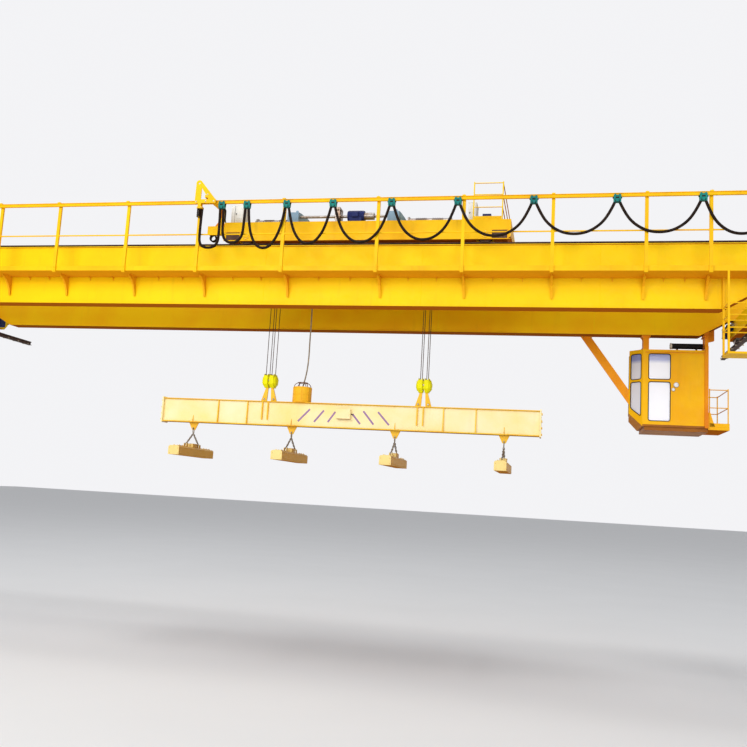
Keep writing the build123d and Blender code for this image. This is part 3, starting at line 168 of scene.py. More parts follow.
def turned(bm, profile, origin, axis, sides=24):
    """A half outline of (radius, along) pairs, spun once about an axis."""
    old = set(bm.verts)
    axis = Vector(axis).normalized()
    out = axis.orthogonal().normalized()
    verts = [bm.verts.new(Vector(origin) + out * radius + axis * along) for radius, along in profile]
    edges = [bm.edges.new(pair) for pair in zip(verts, verts[1:])]
    bmesh.ops.spin(
        bm, geom=verts + edges, cent=origin, axis=axis, angle=2 * math.pi, steps=sides, use_merge=True,
    )
    new = [vert for vert in bm.verts if vert not in old]
    bmesh.ops.remove_doubles(bm, verts=new, dist=0.00002)


def bolts(bm, spots, way, size=0.03):
    """Six-sided heads on round washers, on a face that looks along way."""
    way = Vector(way)
    for spot in spots:
        spot = Vector(spot)
        rod(bm, spot, spot + way * size * 0.2, size * 0.8, 10)
        rod(bm, spot + way * size * 0.2, spot + way * size * 0.8, size * 0.55, 6)


def corner_bolts(bm, middle, halves, way, size=0.03):
    """Bolts at the corners of a rectangle, given by its middle and half its sides."""
    bolts(bm, product(*({m - half, m + half} for m, half in zip(middle, halves))), way, size)


four_round = (0.8, 2.36, 3.93, 5.5)
six_round = (0.4, 1.45, 2.5, 3.54, 4.6, 5.64)


def bolt_circle(bm, centre, way, radius, angles, size):
    """Bolts on a circle, on an upright face that looks along the span or across it."""
    x, y, z = centre
    circle = [(radius * math.cos(angle), radius * math.sin(angle)) for angle in angles]
    bolts(bm, [(x, y + a, z + b) if way[0] else (x + a, y, z + b) for a, b in circle], way, size)


def bolted_cap(bm, profile, centre, way, lift, radius, angles, size, sides=24):
    """A turned cap on an upright face, with its bolts on a circle at a height over the face."""
    turned(bm, profile, centre, way, sides)
    bolt_circle(bm, Vector(centre) + Vector(way) * lift, way, radius, angles, size)


print("rods, turned shapes and bolts ready")

# %% [markdown]
# Bent lines are curves first. A NURBS spline runs smoothly past its control points, a bevel
# makes a second curve into a tube, and the tube's mesh joins the bmesh of the piece.

# %% Smooth lines and tubes
def curve_mesh(points, kind, radius=0.0, sides=8, closed=False):
    """The mesh of a curve through points, with a round bevel where a radius is given."""
    curve = bpy.data.curves.new("line", "CURVE")
    curve.dimensions = "3D"
    spline = curve.splines.new(kind)
    spline.points.add(len(points) - 1)
    for spot, place in zip(spline.points, points):
        spot.co = (*place, 1)
    spline.use_cyclic_u = closed
    if kind == "NURBS":
        spline.order_u = 3
        spline.use_endpoint_u = True
        spline.resolution_u = 8
    if radius:
        curve.bevel_depth = radius
        curve.bevel_resolution = (sides - 4) // 2
        curve.use_fill_caps = not closed
    holder = bpy.data.objects.new("line", curve)
    mesh = bpy.data.meshes.new_from_object(holder)
    bpy.data.objects.remove(holder)
    bpy.data.curves.remove(curve)
    return mesh


def spline_points(control):
    """Points along the smooth line that a NURBS spline draws from its control points."""
    mesh = curve_mesh(control, "NURBS")
    points = [vert.co.copy() for vert in mesh.vertices]
    bpy.data.meshes.remove(mesh)
    return points


def tube(bm, points, radius, sides=8, closed=False):
    """A round tube along straight runs between points."""
    mesh = curve_mesh(points, "POLY", radius, sides, closed)
    bm.from_mesh(mesh)
    bpy.data.meshes.remove(mesh)


def helix(centre, radius, turn, rise, count, axis):
    """Points of a helix about a line along Y or Z, with its turn and rise for one point."""
    x, y, z = centre
    points = []
    for i in range(count):
        a, b = radius * math.cos(i * turn), radius * math.sin(i * turn)
        points.append((x + a, y + i * rise, z + b) if axis == "Y" else (x + a, y + b, z + i * rise))
    return points


def line_length(points):
    return sum((b - a).length for a, b in zip(points, points[1:]))


print("curves ready")

# %% [markdown]
# A coat of paint on a crane is never one flat colour. It has two close tones, streaks that run
# down, dust on top and small chips, all from noise in object coordinates, so they stay put on
# the piece. Faces that look down, and on some coats faces along the span, get painted shade.

# %% Node helpers
def new_material(name):
    material = bpy.data.materials.new(name)
    material.use_nodes = True
    tree = material.node_tree
    return material, tree, tree.nodes["Principled BSDF"]


def feed(tree, node, inputs):
    """Links each input to a socket, or sets it to a number, a direction or a colour."""
    for key, value in inputs.items():
        socket = node.inputs[key]
        if hasattr(value, "links"):
            tree.links.new(value, socket)
        else:
            socket.default_value = (*value, 1) if socket.type == "RGBA" else value


def new_node(tree, kind, inputs, **settings):
    """A node of a kind, with its settings made and its inputs fed."""
    node = tree.nodes.new(kind)
    for key, value in settings.items():
        setattr(node, key, value)
    feed(tree, node, inputs)
    return node


def place_on_piece(tree, stretch=(1, 1, 1), turn=0.0):
    """Object coordinates, stretched along the axes and turned about Z."""
    place = tree.nodes.new("ShaderNodeTexCoord").outputs["Object"]
    inputs = {"Vector": place, "Scale": stretch, "Rotation": (0, 0, turn)}
    return new_node(tree, "ShaderNodeMapping", inputs).outputs["Vector"]


def noise(tree, scale, detail=4.0, stretch=(1, 1, 1), rough=0.55):
    inputs = {"Vector": place_on_piece(tree, stretch), "Scale": scale, "Detail": detail, "Roughness": rough}
    return new_node(tree, "ShaderNodeTexNoise", inputs).outputs["Fac"]


def ramp(tree, value, low, high, low_out=0.0, high_out=1.0):
    """Carries a band of values over to another band, clamped at its ends."""
    inputs = {"Value": value, "From Min": low, "From Max": high, "To Min": low_out, "To Max": high_out}
    return new_node(tree, "ShaderNodeMapRange", inputs).outputs["Result"]


def mix_color(tree, factor, one, two):
    """Mixes two colours by a socket; each colour is a socket or three numbers."""
    return new_node(tree, "ShaderNodeMix", {0: factor, 6: one, 7: two}, data_type="RGBA").outputs[2]


def arithmetic(tree, operation, one, two):
    return new_node(tree, "ShaderNodeMath", {0: one, 1: two}, operation=operation).outputs[0]


def face_direction(tree, axis):
    """How far a face looks along an axis, from -1 to 1."""
    normal = tree.nodes.new("ShaderNodeNewGeometry").outputs["Normal"]
    return new_node(tree, "ShaderNodeSeparateXYZ", {"Vector": normal}).outputs[axis]


def surface(tree, shader, color, roughness, height, strength, distance):
    """Gives a shader its colour, its roughness and a bump that follows a height."""
    inputs = {"Strength": strength, "Distance": distance, "Height": height}
    normal = new_node(tree, "ShaderNodeBump", inputs).outputs["Normal"]
    feed(tree, shader, {"Base Color": color, "Roughness": roughness, "Normal": normal})


print("node helpers ready")

# %% Paint
def chequer(tree):
    """The raised lozenges of a tread plate, on faces that look up."""
    lozenges = []
    for turn in (math.pi / 4, -math.pi / 4):
        inputs = {"Vector": place_on_piece(tree, (1, 1, 1), turn), "Scale": 6.0}
        wave = new_node(tree, "ShaderNodeTexWave", inputs)
        lozenges.append(ramp(tree, wave.outputs["Fac"], 0.6, 0.9))
    raised = arithmetic(tree, "MULTIPLY", *lozenges)
    return arithmetic(tree, "MULTIPLY", raised, ramp(tree, face_direction(tree, "Z"), 0.8, 0.95, 0, 3))


def paint(name, color, shade, grime=0.3, rough=0.45, chips=0.5, under=None, side=None, plate=False):
    """A coat of paint. under paints shade on faces that look down, side paints shade on faces that look
    along the span.
    """
    material, tree, shader = new_material(name)
    shader.inputs["Specular IOR Level"].default_value = 0.1
    tone = mix_color(tree, ramp(tree, noise(tree, 0.7, 5), 0.38, 0.66), color, shade)
    # Faces that look along the span take the side colour: painted shade.
    if side:
        along = arithmetic(tree, "ABSOLUTE", face_direction(tree, "X"), 0)
        tone = mix_color(tree, ramp(tree, along, 0.5, 0.8), tone, side)
    dirt = tuple(0.4 * part + 0.012 for part in shade)
    streak = ramp(tree, noise(tree, 5.0, 6, (1.0, 1.0, 0.1)), 0.57, 0.76, 0, grime)
    tone = mix_color(tree, streak, tone, dirt)
    dust = arithmetic(
        tree, "MULTIPLY", ramp(tree, face_direction(tree, "Z"), 0.6, 0.95, 0, 0.5),
        ramp(tree, noise(tree, 3.0, 5), 0.3, 0.7),
    )
    tone = mix_color(tree, dust, tone, (0.3, 0.25, 0.17))
    # Faces that look down take the under colour, which is painted shade, and their specular is turned down.
    if under:
        tone = mix_color(tree, ramp(tree, face_direction(tree, "Z"), -0.4, -0.75), tone, under)
        gloss = ramp(tree, face_direction(tree, "Z"), -0.75, -0.4, 0, 0.1)
        tree.links.new(gloss, shader.inputs["Specular IOR Level"])
    speck = ramp(tree, noise(tree, 30.0, 5, rough=0.7), 0.73, 0.77, 0, chips)
    tone = mix_color(tree, speck, tone, (0.16, 0.09, 0.05))
    rougher = ramp(tree, noise(tree, 9.0, 4), 0.3, 0.7, rough - 0.08, rough + 0.14)
    grain = noise(tree, 60.0, 3)
    if plate:
        grain = arithmetic(tree, "ADD", grain, chequer(tree))
    surface(tree, shader, tone, rougher, grain, 0.15, 0.003)
    return material


print("paint ready")

# %% Metal and rubber
def metal(name, color, shade, rough=0.45, grain=40.0):
    """Bare steel with rust-toned patches and a fine grain."""
    material, tree, shader = new_material(name)
    shader.inputs["Metallic"].default_value = 0.85
    tone = mix_color(tree, ramp(tree, noise(tree, 4.0, 6), 0.4, 0.7), color, shade)
    fine = noise(tree, grain, 4)
    surface(tree, shader, tone, ramp(tree, fine, 0.3, 0.7, rough - 0.12, rough + 0.2), fine, 0.2, 0.002)
    return material


def rubber(name, color, shade):
    """A cable sheath or a seal: dark, a little dusty and slightly uneven."""
    material, tree, shader = new_material(name)
    shader.inputs["Specular IOR Level"].default_value = 0.1
    tone = mix_color(tree, ramp(tree, noise(tree, 8.0, 5), 0.4, 0.65), color, shade)
    worn = ramp(tree, noise(tree, 30.0, 3), 0.3, 0.7, 0.5, 0.75)
    surface(tree, shader, tone, worn, noise(tree, 120.0, 3), 0.2, 0.001)
    return material


print("metal and rubber ready")

# %% [markdown]
# The crane is a strong yellow. The cab leans towards orange, and the far girder gets an oranger
# copy of the yellow, which is painted shade. The hook blocks are lemon, the beam is pale cream and
# the carriers are teal. Undersides get a red-brown or orange tint, which is painted shade.

# %% Colours of the crane
# Tints for faces that look down and for the magnets' sides: painted shade.
underside_shade = (0.46, 0.12, 0.008)
orange_underside_shade = (0.82, 0.36, 0.008)
beam_underside_shade = (0.4, 0.16, 0.03)
magnet_underside_shade, magnet_side_shade = (0.5, 0.2, 0.03), (0.66, 0.34, 0.05)
far_girder_underside_shade = (0.3, 0.08, 0.008)
yellow = paint("girder_yellow", (0.95, 0.65, 0.002), (0.92, 0.58, 0.002), 0.14, under=underside_shade)
post_yellow = paint("post_yellow", (0.95, 0.57, 0.004), (0.86, 0.45, 0.006), 0.2)
walkway_yellow = paint(
    "walkway_yellow", (0.94, 0.57, 0.003), (0.84, 0.44, 0.004), 0.2, under=orange_underside_shade, plate=True,
)
bracket_orange = paint("bracket_orange", (0.92, 0.5, 0.006), (0.8, 0.36, 0.008), 0.2, under=orange_underside_shade)
# The far girder wears the same yellow as the near one; its oranger tone here is painted shade.
far_girder_shaded_yellow = paint("far_girder_yellow_with_shade", (0.98, 0.6, 0.003), (0.95, 0.48, 0.003), 0.1, under=far_girder_underside_shade)
cab_yellow = paint("cab_yellow", (0.92, 0.5, 0.004), (0.86, 0.4, 0.004), 0.14, under=underside_shade)
brace_orange = paint("brace_orange", (0.86, 0.31, 0.005), (0.72, 0.2, 0.006), 0.25)
trolley_yellow = paint(
    "trolley_yellow", (0.92, 0.55, 0.006), (0.86, 0.45, 0.006), 0.3, under=underside_shade, plate=True,
)
lemon = paint("block_lemon", (0.86, 0.82, 0.003), (0.74, 0.66, 0.003), 0.2)
cream = paint("beam_cream", (0.95, 0.83, 0.5), (0.95, 0.74, 0.26), 0.1, under=beam_underside_shade)
base_brown = paint("base_brown", (0.4, 0.14, 0.012), (0.26, 0.08, 0.01), 0.3)
lug_yellow = paint("lug_yellow", (0.94, 0.6, 0.05), (0.84, 0.42, 0.03), 0.2)
magnet_cream = paint(
    "magnet_cream", (0.92, 0.72, 0.28), (0.86, 0.6, 0.2), 0.2, side=magnet_side_shade, under=magnet_underside_shade,
)
basket_orange = paint("basket_orange", (0.96, 0.58, 0.03), (0.9, 0.44, 0.02), 0.2)
crown_brown = paint("crown_brown", (0.22, 0.07, 0.03), (0.14, 0.05, 0.02), 0.3)
teal = paint("carrier_teal", (0.01, 0.24, 0.2), (0.012, 0.15, 0.14), 0.35, 0.5)
motor_blue = paint("motor_blue", (0.012, 0.02, 0.13), (0.02, 0.03, 0.09), 0.3)
gear_blue = paint("gearcase_blue", (0.26, 0.4, 0.5), (0.2, 0.3, 0.4), 0.3)
cabinet_pale = paint("cabinet_pale", (0.78, 0.77, 0.72), (0.68, 0.66, 0.6), 0.25)
stripe_purple = paint("stripe_purple", (0.3, 0.17, 0.36), (0.36, 0.24, 0.38), 0.15)
lamp_white = paint("lamp_white", (0.9, 0.9, 0.9), (0.84, 0.84, 0.86), 0.05, 0.25, 0.0)
rail_steel = metal("rail_steel", (0.3, 0.28, 0.26), (0.2, 0.12, 0.07), 0.4)
rail_brown = metal("rail_brown", (0.09, 0.05, 0.035), (0.05, 0.026, 0.018), 0.6)
rope_steel = metal("rope_steel", (0.1, 0.05, 0.03), (0.05, 0.03, 0.02), 0.55, 120)
chain_steel = metal("chain_steel", (0.34, 0.28, 0.2), (0.2, 0.13, 0.08), 0.5)
bolt_steel = metal("bolt_steel", (0.42, 0.36, 0.26), (0.28, 0.2, 0.12), 0.4)
cable_black = rubber("cable_black", (0.009, 0.004, 0.002), (0.02, 0.009, 0.004))
magnet_cable_grey = rubber("magnet_cable_grey", (0.33, 0.27, 0.2), (0.22, 0.17, 0.12))
seal_black = rubber("seal_black", (0.01, 0.01, 0.012), (0.025, 0.022, 0.02))
print("materials", len(bpy.data.materials))

# %% [markdown]
# The cab's glass is given a pale colour with a lavender cast, which is painted reflection, and a
# bluish band along its top. Alpha lets a little of the cab show through, and a film of dust
# varies the roughness.

# %% Glass
cab_glass, tree, shader = new_material("cab_glass")
split = new_node(tree, "ShaderNodeSeparateXYZ", {"Vector": place_on_piece(tree)})
band = ramp(tree, split.outputs["Z"], -0.62, -0.5)
feed(tree, shader, {
    "Alpha": 0.7, "Specular IOR Level": 0.6,
    # painted reflection: the pale colour below the band stands for glare on the panes
    "Base Color": mix_color(tree, band, (0.88, 0.88, 0.94), (0.3, 0.34, 0.66)),
    "Roughness": ramp(tree, noise(tree, 2.0, 4), 0.3, 0.7, 0.06, 0.25),
})
print("glass ready")

# %% Finishes on the solids
finish_rows = (
    (cream, "lifting_beam beam_box"), (lemon, "hook_cheeks"), (lug_yellow, "beam_lugs"),
    (magnet_cream, "magnets"), (chain_steel, "magnet_slings"), (basket_orange, "cable_basket"),
    (cab_glass, "cab_panes"), (cable_black, "festoon_cable"), (magnet_cable_grey, "magnet_cable"),
    (rope_steel, "hoist_ropes"), (rail_brown, "runway_rails trolley_rails trolley_wheels"),
    (rail_steel, "block_sheaves equalizer_sheaves carriage_wheels hoist_drums hoist_shafts"),
    (gear_blue, "hoist_gearboxes"), (motor_blue, "trolley_motors travel_drives"),
    (cabinet_pale, "control_cabinets"), (far_girder_shaded_yellow, "far_girder far_walkway far_handrail"),
    (walkway_yellow, "near_walkway"), (post_yellow, "near_posts guard_rail festoon_track collector_cage"),
    (bracket_orange, "walkway_brackets"), (brace_orange, "cab_hangers"), (base_brown, "cab_floor"),
    (trolley_yellow, "trolley_deck trolley_cross_beams trolley_side_beams hoist_stands"),
)
finishes = {name: material for material, names in finish_rows for name in names.split()}
for name, solid in nodes.items():
    if name.startswith("festoon_carrier"):
        material = teal
    else:
        material = finishes.get(name, cab_yellow if name.startswith("cab_") else yellow)
    solid.data.materials.clear()
    solid.data.materials.append(material)
print("finished solids", len(nodes))

# %% [markdown]
# The festoon is ten loops of black cable, 76 mm thick, that hang from carriers on the track.
# Each loop is a smooth spline through a few points. Each carrier stands at its own share of the
# way from the tow clamp to the anchor, and each point of a loop at its own share between two clamps.

# %% Festoon places
track_y = -2.929
clamp_bottom = 2.801
cable_diameter = 0.076
tow_clamp, anchor_x = 10.15, 25.56
run_shares = (0.0422, 0.0915, 0.1681, 0.255, 0.3621, 0.4796, 0.6093, 0.7463, 0.8819)
carrier_spots = [tow_clamp + share * (anchor_x - tow_clamp) for share in run_shares]
loop_low = (1.67, 1.81, 1.65, 1.77, 1.80, 1.86, 1.95, 1.98, 2.01, 1.95)
loop_lengths = (2.67, 2.38, 2.79, 2.63, 2.77, 2.78, 2.78, 2.82, 2.76, 2.65)
narrow_loop = ((0, 0), (-0.04, 0.52), (0, 1), (1, 1), (1.04, 0.52), (1, 0))
middle_loop = ((0, 0), (0.02, 0.45), (0.05, 0.82), (0.31, 1), (0.69, 1), (0.95, 0.82), (0.98, 0.45), (1, 0))
wide_loop = ((0, 0), (0.07, 0.38), (0.19, 0.75), (0.38, 1), (0.62, 1), (0.81, 0.75), (0.93, 0.38), (1, 0))
uneven_loop = ((0, 0), (0.03, 0.38), (0.15, 0.78), (0.35, 1), (0.6, 1), (0.8, 0.78), (0.95, 0.38), (1, 0))
loop_shapes = (narrow_loop, middle_loop, uneven_loop) + (wide_loop,) * 7
print("carriers at", [round(x, 2) for x in carrier_spots])


strand = 0.05
top = clamp_bottom + cable_diameter / 2
clamps = [tow_clamp, *carrier_spots, anchor_x]
for i, (low, shape, length) in enumerate(zip(loop_low, loop_shapes, loop_lengths)):
    left, right = clamps[i] + strand, clamps[i + 1] - strand
    route = [(left + u * (right - left), track_y, top + v * (low - top)) for u, v in shape]
    path = spline_points(route)
    bm = bmesh.new()
    tube(bm, path, cable_diameter / 2, 12)
    loop = piece(f"festoon_loop_{i + 1}", bm, None, cable_black, 60)
    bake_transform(loop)
    print("loop", i + 1, "line", round(line_length(path), 3))
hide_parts("festoon_cable")

# %% [markdown]
# The magnets' cable hangs from a gland under the trolley and drops into the basket on the beam.
# It is made like a loop.

# %% Magnet cable
gland_x, gland_y = 12.76, 0.04
magnet_cable_diameter = 0.042
magnet_route = (
    (gland_x, gland_y, 2.658), (12.772, 0.042, 2.15), (12.764, 0.038, 1.64), (12.754, 0.042, 1.13),
    (12.766, 0.04, 0.62), (12.774, 0.036, 0.11), (12.766, 0.04, -0.4), (12.772, 0.042, -0.91),
    (12.75, 0.036, -1.33), (12.698, 0.02, -1.66), (12.63, 0, -1.96), (12.61, -0.01, -2.326),
)
path = spline_points(magnet_route)
bm = bmesh.new()
tube(bm, path, magnet_cable_diameter / 2, 10)
magnet_line = piece("magnet_supply_cable", bm, None, magnet_cable_grey, 60)
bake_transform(magnet_line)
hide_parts("magnet_cable")
print("magnet cable line", round(line_length(path), 3))

# %% [markdown]
# Wire rope is six strands round a core. A ring with six lobes, screwed upwards by the spin
# operator, gives that shape in one step. The falls stretch between the trolley and the beam.

# %% Hoist ropes
hook_spots = (11.6, 16.4)
fall_half, fall_y = 0.0925, 0.165
drum_y, drum_z = -0.415, 3.04
sheave_z = 3.06
block_z = -1.72
rope_radius, lobe_depth = 0.011, 0.72


def screwed_rope(matrix, axis, advance, turn, steps):
    """The mesh of a rope: a ring with six lobes travels round an axis and along it."""
    one = bmesh.new()
    ring = bmesh.ops.create_circle(one, segments=12, radius=rope_radius, matrix=matrix)["verts"]
    middle = matrix.translation
    for vert in ring[::2]:
        vert.co = middle + (vert.co - middle) * lobe_depth
    edges = list({edge for vert in ring for edge in vert.link_edges})
    bmesh.ops.spin(
        one, geom=ring + edges, cent=(0, 0, 0), axis=axis, dvec=Vector(axis) * advance / steps,
        angle=turn, steps=steps,
    )
    return loose_mesh(one)


steps_in_a_turn = 12
strand_pitch = 0.18
steps = int((drum_z - block_z) / strand_pitch * steps_in_a_turn)
turn = steps * 2 * math.pi / steps_in_a_turn
fall = screwed_rope(Matrix.Identity(4), along_z, drum_z - block_z, turn, steps)
bm = bmesh.new()
for hook, x_side, y_side in product(hook_spots, (-1, 1), (-1, 1)):
    add_copy(bm, fall, Matrix.Translation((hook + x_side * fall_half, y_side * fall_y, block_z)))
falls = piece("hoist_rope_falls", bm, None, rope_steel, 80)
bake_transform(falls)
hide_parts("hoist_ropes")

# %% [markdown]
# On each drum the rope lies in its grooves, wound outwards from the middle. The same operator
# makes the turns: a small ring travels round the drum's axis and along it.

# %% Rope on the drums, and round the sheaves
drum_radius = 0.25
groove_pitch, drum_turns = 0.056, 5.4
start_ring = Matrix.Translation((0, drum_radius, 0))
winding = screwed_rope(
    start_ring, along_x, drum_turns * groove_pitch, drum_turns * 2 * math.pi, int(drum_turns * 28),
)
over = screwed_rope(Matrix.Translation((-fall_half, 0, 0)), (0, 1, 0), 0, math.pi, 16)
bm = bmesh.new()
for hook in hook_spots:
    for side in (-1, 1):
        place = Matrix.Translation((hook + side * fall_half, drum_y, drum_z))
        add_copy(bm, winding, place @ Matrix.Diagonal((side, 1, 1, 1)))
    add_copy(bm, over, Matrix.Translation((hook, fall_y, sheave_z)))
piece("wound_rope", bm, "trolley", rope_steel, 80)

# %% [markdown]
# Each magnet hangs on two chains from a shackle under the beam. One link's mesh is placed again
# and again down the line, every other one turned a quarter.

# %% Magnet chains
magnet_spots = (9.2, 12.4, 15.6, 18.8)
shackle_z, chain_top_z, chain_foot_z = -3.27, -3.44, -3.79
lug_y = 0.475
shackle_bow = (
    (-0.034, shackle_z), (-0.045, -3.34), (-0.04, -3.4), (0, chain_top_z),
    (0.04, -3.4), (0.045, -3.34), (0.034, shackle_z),
)


def chain(bm, start, end, pitch=0.076, wire=0.011, width=0.021):
    """Links from start to end, each a stadium of wire."""
    length = (Vector(end) - Vector(start)).length
    count = round(length / pitch)
    step = length / count
    half = step / 2 + wire - width
    outline = []
    for i in range(12):
        angle = math.pi * (i + 0.5) / 6
        rise = half if math.sin(angle) > 0 else -half
        outline.append((width * math.cos(angle), 0, rise + width * math.sin(angle)))
    link = curve_mesh(outline, "POLY", wire, 6, True)
    for i in range(count):
        place = line_frame(start, end) @ Matrix.Translation((0, 0, (i + 0.5) * step))
        add_copy(bm, link, place @ Matrix.Rotation(i % 2 * math.pi / 2, 4, "Z"))
    bpy.data.meshes.remove(link)


bm = bmesh.new()
for x in magnet_spots:
    tube(bm, [(x, *place) for place in shackle_bow], 0.014, 8)
    rod(bm, (x, -0.062, shackle_z), (x, 0.062, shackle_z), 0.021)
    bolts(bm, [(x, -0.062, shackle_z)], (0, -1, 0))
    for side in (-1, 1):
        chain(bm, (x, side * 0.02, chain_top_z - 0.012), (x, side * (lug_y - 0.012), chain_foot_z + 0.01))
        rod(bm, (x - 0.056, side * lug_y, chain_foot_z), (x + 0.056, side * lug_y, chain_foot_z), 0.018, 10)
chains = piece("magnet_chains", bm, "lifting_beam", chain_steel, 60)
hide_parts("magnet_slings")

# %% [markdown]
# The magnets are sealed steel boxes. On top each has two bolted covers and a terminal box with
# a gland, and seams run round its sides.

# %% Magnet covers and terminal boxes
cover_top = -3.866
bm = bmesh.new()
for x in magnet_spots:
    for side in (-1, 1):
        box(bm, (x - 0.11, side * 0.62, -3.888), (x + 0.11, side * 1.16, cover_top), 0.006)
        spots = product((x - 0.085, x + 0.085), (side * 0.68, side * 0.89, side * 1.1), (cover_top,))
        bolts(bm, spots, along_z, 0.026)
        corner_bolts(bm, (x, side * 1.303, -4.035), (0.13, 0, 0.075), (0, side, 0), 0.02)
    box(bm, (x - 0.1, -0.17, -3.885), (x + 0.1, 0.17, -3.77), 0.01, 2)
    box(bm, (x - 0.108, -0.178, -3.775), (x + 0.108, 0.178, -3.757), 0.005)
    rod(bm, (x, -0.17, -3.82), (x, -0.225, -3.82), 0.02, 10)
    for z in (-4.11, -3.93):
        box(bm, (x - 0.1745, -1.28, z - 0.006), (x + 0.1745, 1.28, z + 0.006), 0.003)
piece("magnet_fittings", bm, "lifting_beam", magnet_cream)

# %% [markdown]
# The lifting beam is a welded box section with bolted end plates and a conduit under its top
# flange. The slanting strokes beside the control box are paint: thin slabs keep them sharp.

# %% Beam: strokes, welds and end bolts
beam_left, beam_right = 8.2, 19.8
beam_bottom, beam_top, beam_flange = -3.09, -2.35, 0.022
half_web, half_flange = 0.1, 0.175
stroke_width = 0.055
strokes = (
    (12.60, -2.93, 12.96, -2.55), (13.11, -2.93, 13.40, -2.57), (13.54, -2.92, 13.76, -2.6),
    (14.29, -2.65, 14.54, -2.94), (14.62, -2.55, 14.95, -2.94), (15.07, -2.56, 15.42, -2.94),
)
bm = bmesh.new()
for x0, z0, x1, z1 in strokes:
    a, b = Vector((z1 - z0, x0 - x1)).normalized() * stroke_width / 2
    outline = [(x0 + a, z0 + b), (x1 + a, z1 + b), (x1 - a, z1 - b), (x0 - a, z0 - b)]
    slab(bm, outline, -half_web - 0.002, -half_web, "Y")
piece("beam_strokes", bm, "lifting_beam", stripe_purple)

bm = bmesh.new()
for side in (-1, 1):
    web, edge = side * half_web, side * half_flange
    for z, rise in ((beam_bottom + beam_flange, 0.014), (beam_top - beam_flange, -0.014)):
        slab(bm, [(web, z), (side * 0.114, z), (web, z + rise)], beam_left, beam_right, "X")
    for hook, reach in product(hook_spots, (-0.15, 0.03)):
        x = hook + reach
        box(bm, (x - 0.018, web, -2.92), (x + 0.018, side * 0.16, beam_top - beam_flange))
    for x in magnet_spots:
        slab(bm, [(web, -3.068), (side * 0.165, -3.068), (web, -2.86)], x - 0.008, x + 0.008, "X")
    for x in (10.02, 10.97, 17.03, 17.98):
        rib = [(web, -3.066), (side * 0.177, -3.066), (side * 0.15, -2.374), (web, -2.374)]
        slab(bm, rib, x - 0.014, x + 0.014, "X")
    for low in (beam_bottom, beam_top - beam_flange):
        box(bm, (beam_left, edge, low), (beam_right, edge + side * 0.003, low + beam_flange))
piece("beam_seams_and_ribs", bm, "lifting_beam", lug_yellow)

bm = bmesh.new()
for x, way in ((8.16, -1), (19.84, 1)):
    bolts(bm, product((x,), (-0.165, 0.165), (-3.03, -2.84, -2.65, -2.44)), (way, 0, 0), 0.034)
for hook in hook_spots:
    for half in (0.12, 0.2):
        corner_bolts(bm, (hook, 0, beam_top), (half, 0.1, 0), along_z)
for x in magnet_spots:
    corner_bolts(bm, (x, 0, beam_bottom + beam_flange), (0.11, 0.145, 0), along_z, 0.026)
piece("beam_bolts", bm, "lifting_beam", lug_yellow)

# %% Beam: control box door and conduits
bm = bmesh.new()
box(bm, (13.815, -0.242, -2.815), (14.255, -0.228, -2.515), 0.005)
for x, z in product((13.84, 14.23), (-2.55, -2.78)):
    rod(bm, (x, -0.242, z), (x, -0.248, z), 0.011, 8)
box(bm, (14.2, -0.252, -2.7), (14.225, -0.24, -2.63), 0.004)
piece("beam_box_door", bm, "lifting_beam", cream)

bm = bmesh.new()
conduit_y, conduit_z = 0.13, -2.44
tube(bm, [(14.32, -conduit_y, -2.66), (14.25, -conduit_y, -2.66)], 0.012)
tube(bm, [(9.0, conduit_y, conduit_z), (18.95, conduit_y, conduit_z)], 0.018)
for x in magnet_spots:
    tube(bm, [(x + 0.12, conduit_y, conduit_z), (x + 0.12, conduit_y, -3.02)], 0.014)
for i in range(14):
    x = 9.3 + 0.72 * i
    box(bm, (x - 0.015, 0.1, conduit_z - 0.03), (x + 0.015, 0.155, conduit_z + 0.03), 0.004)
piece("beam_conduit", bm, "lifting_beam", seal_black)

# %% [markdown]
# The basket that takes up the magnets' cable is a rolled sheet with rims, ribs and a crown of
# bent rods that guide the cable in.

# %% Cable basket
basket_x, basket_low, basket_high = 12.65, -2.35, -1.88
rim = [(0.274, -0.018), (0.287, -0.014), (0.287, 0.014), (0.274, 0.018)]
crown_ring = [(0.13, -0.011), (0.152, -0.011), (0.152, 0.011), (0.13, 0.011), (0.13, -0.011)]
bm = bmesh.new()
for z in (basket_low + 0.03, basket_low + 0.235, basket_high - 0.02):
    turned(bm, rim, (basket_x, 0, z), along_z, 40)
for i in range(8):
    angle = math.pi * i / 4 + 0.2
    across = Vector((math.cos(angle), math.sin(angle), 0))
    low = Vector((basket_x, 0, basket_low + 0.04)) + across * 0.281
    tube(bm, [low, low + Vector((0, 0, basket_high - basket_low - 0.06))], 0.009, 6)
piece("basket_rims", bm, "lifting_beam", basket_orange)
bm = bmesh.new()
for i in range(6):
    angle = math.pi * i / 3 + 0.4
    across = Vector((math.cos(angle), math.sin(angle), 0))
    foot = Vector((basket_x, 0, basket_high - 0.12)) + across * 0.262
    bend = ((0, 0), (0, 0.15), (0.05, 0.22), (0.12, 0.255))
    tube(bm, spline_points([foot - across * inward + Vector((0, 0, z)) for inward, z in bend]), 0.012, 6)
turned(bm, crown_ring, (basket_x, 0, basket_high + 0.137), along_z, 32)
piece("basket_crown", bm, "lifting_beam", crown_brown)

# %% [markdown]
# Each hook block has two sheave housings with a bolted cheek on both outer faces, and the lugs
# are pinned under its crosshead.

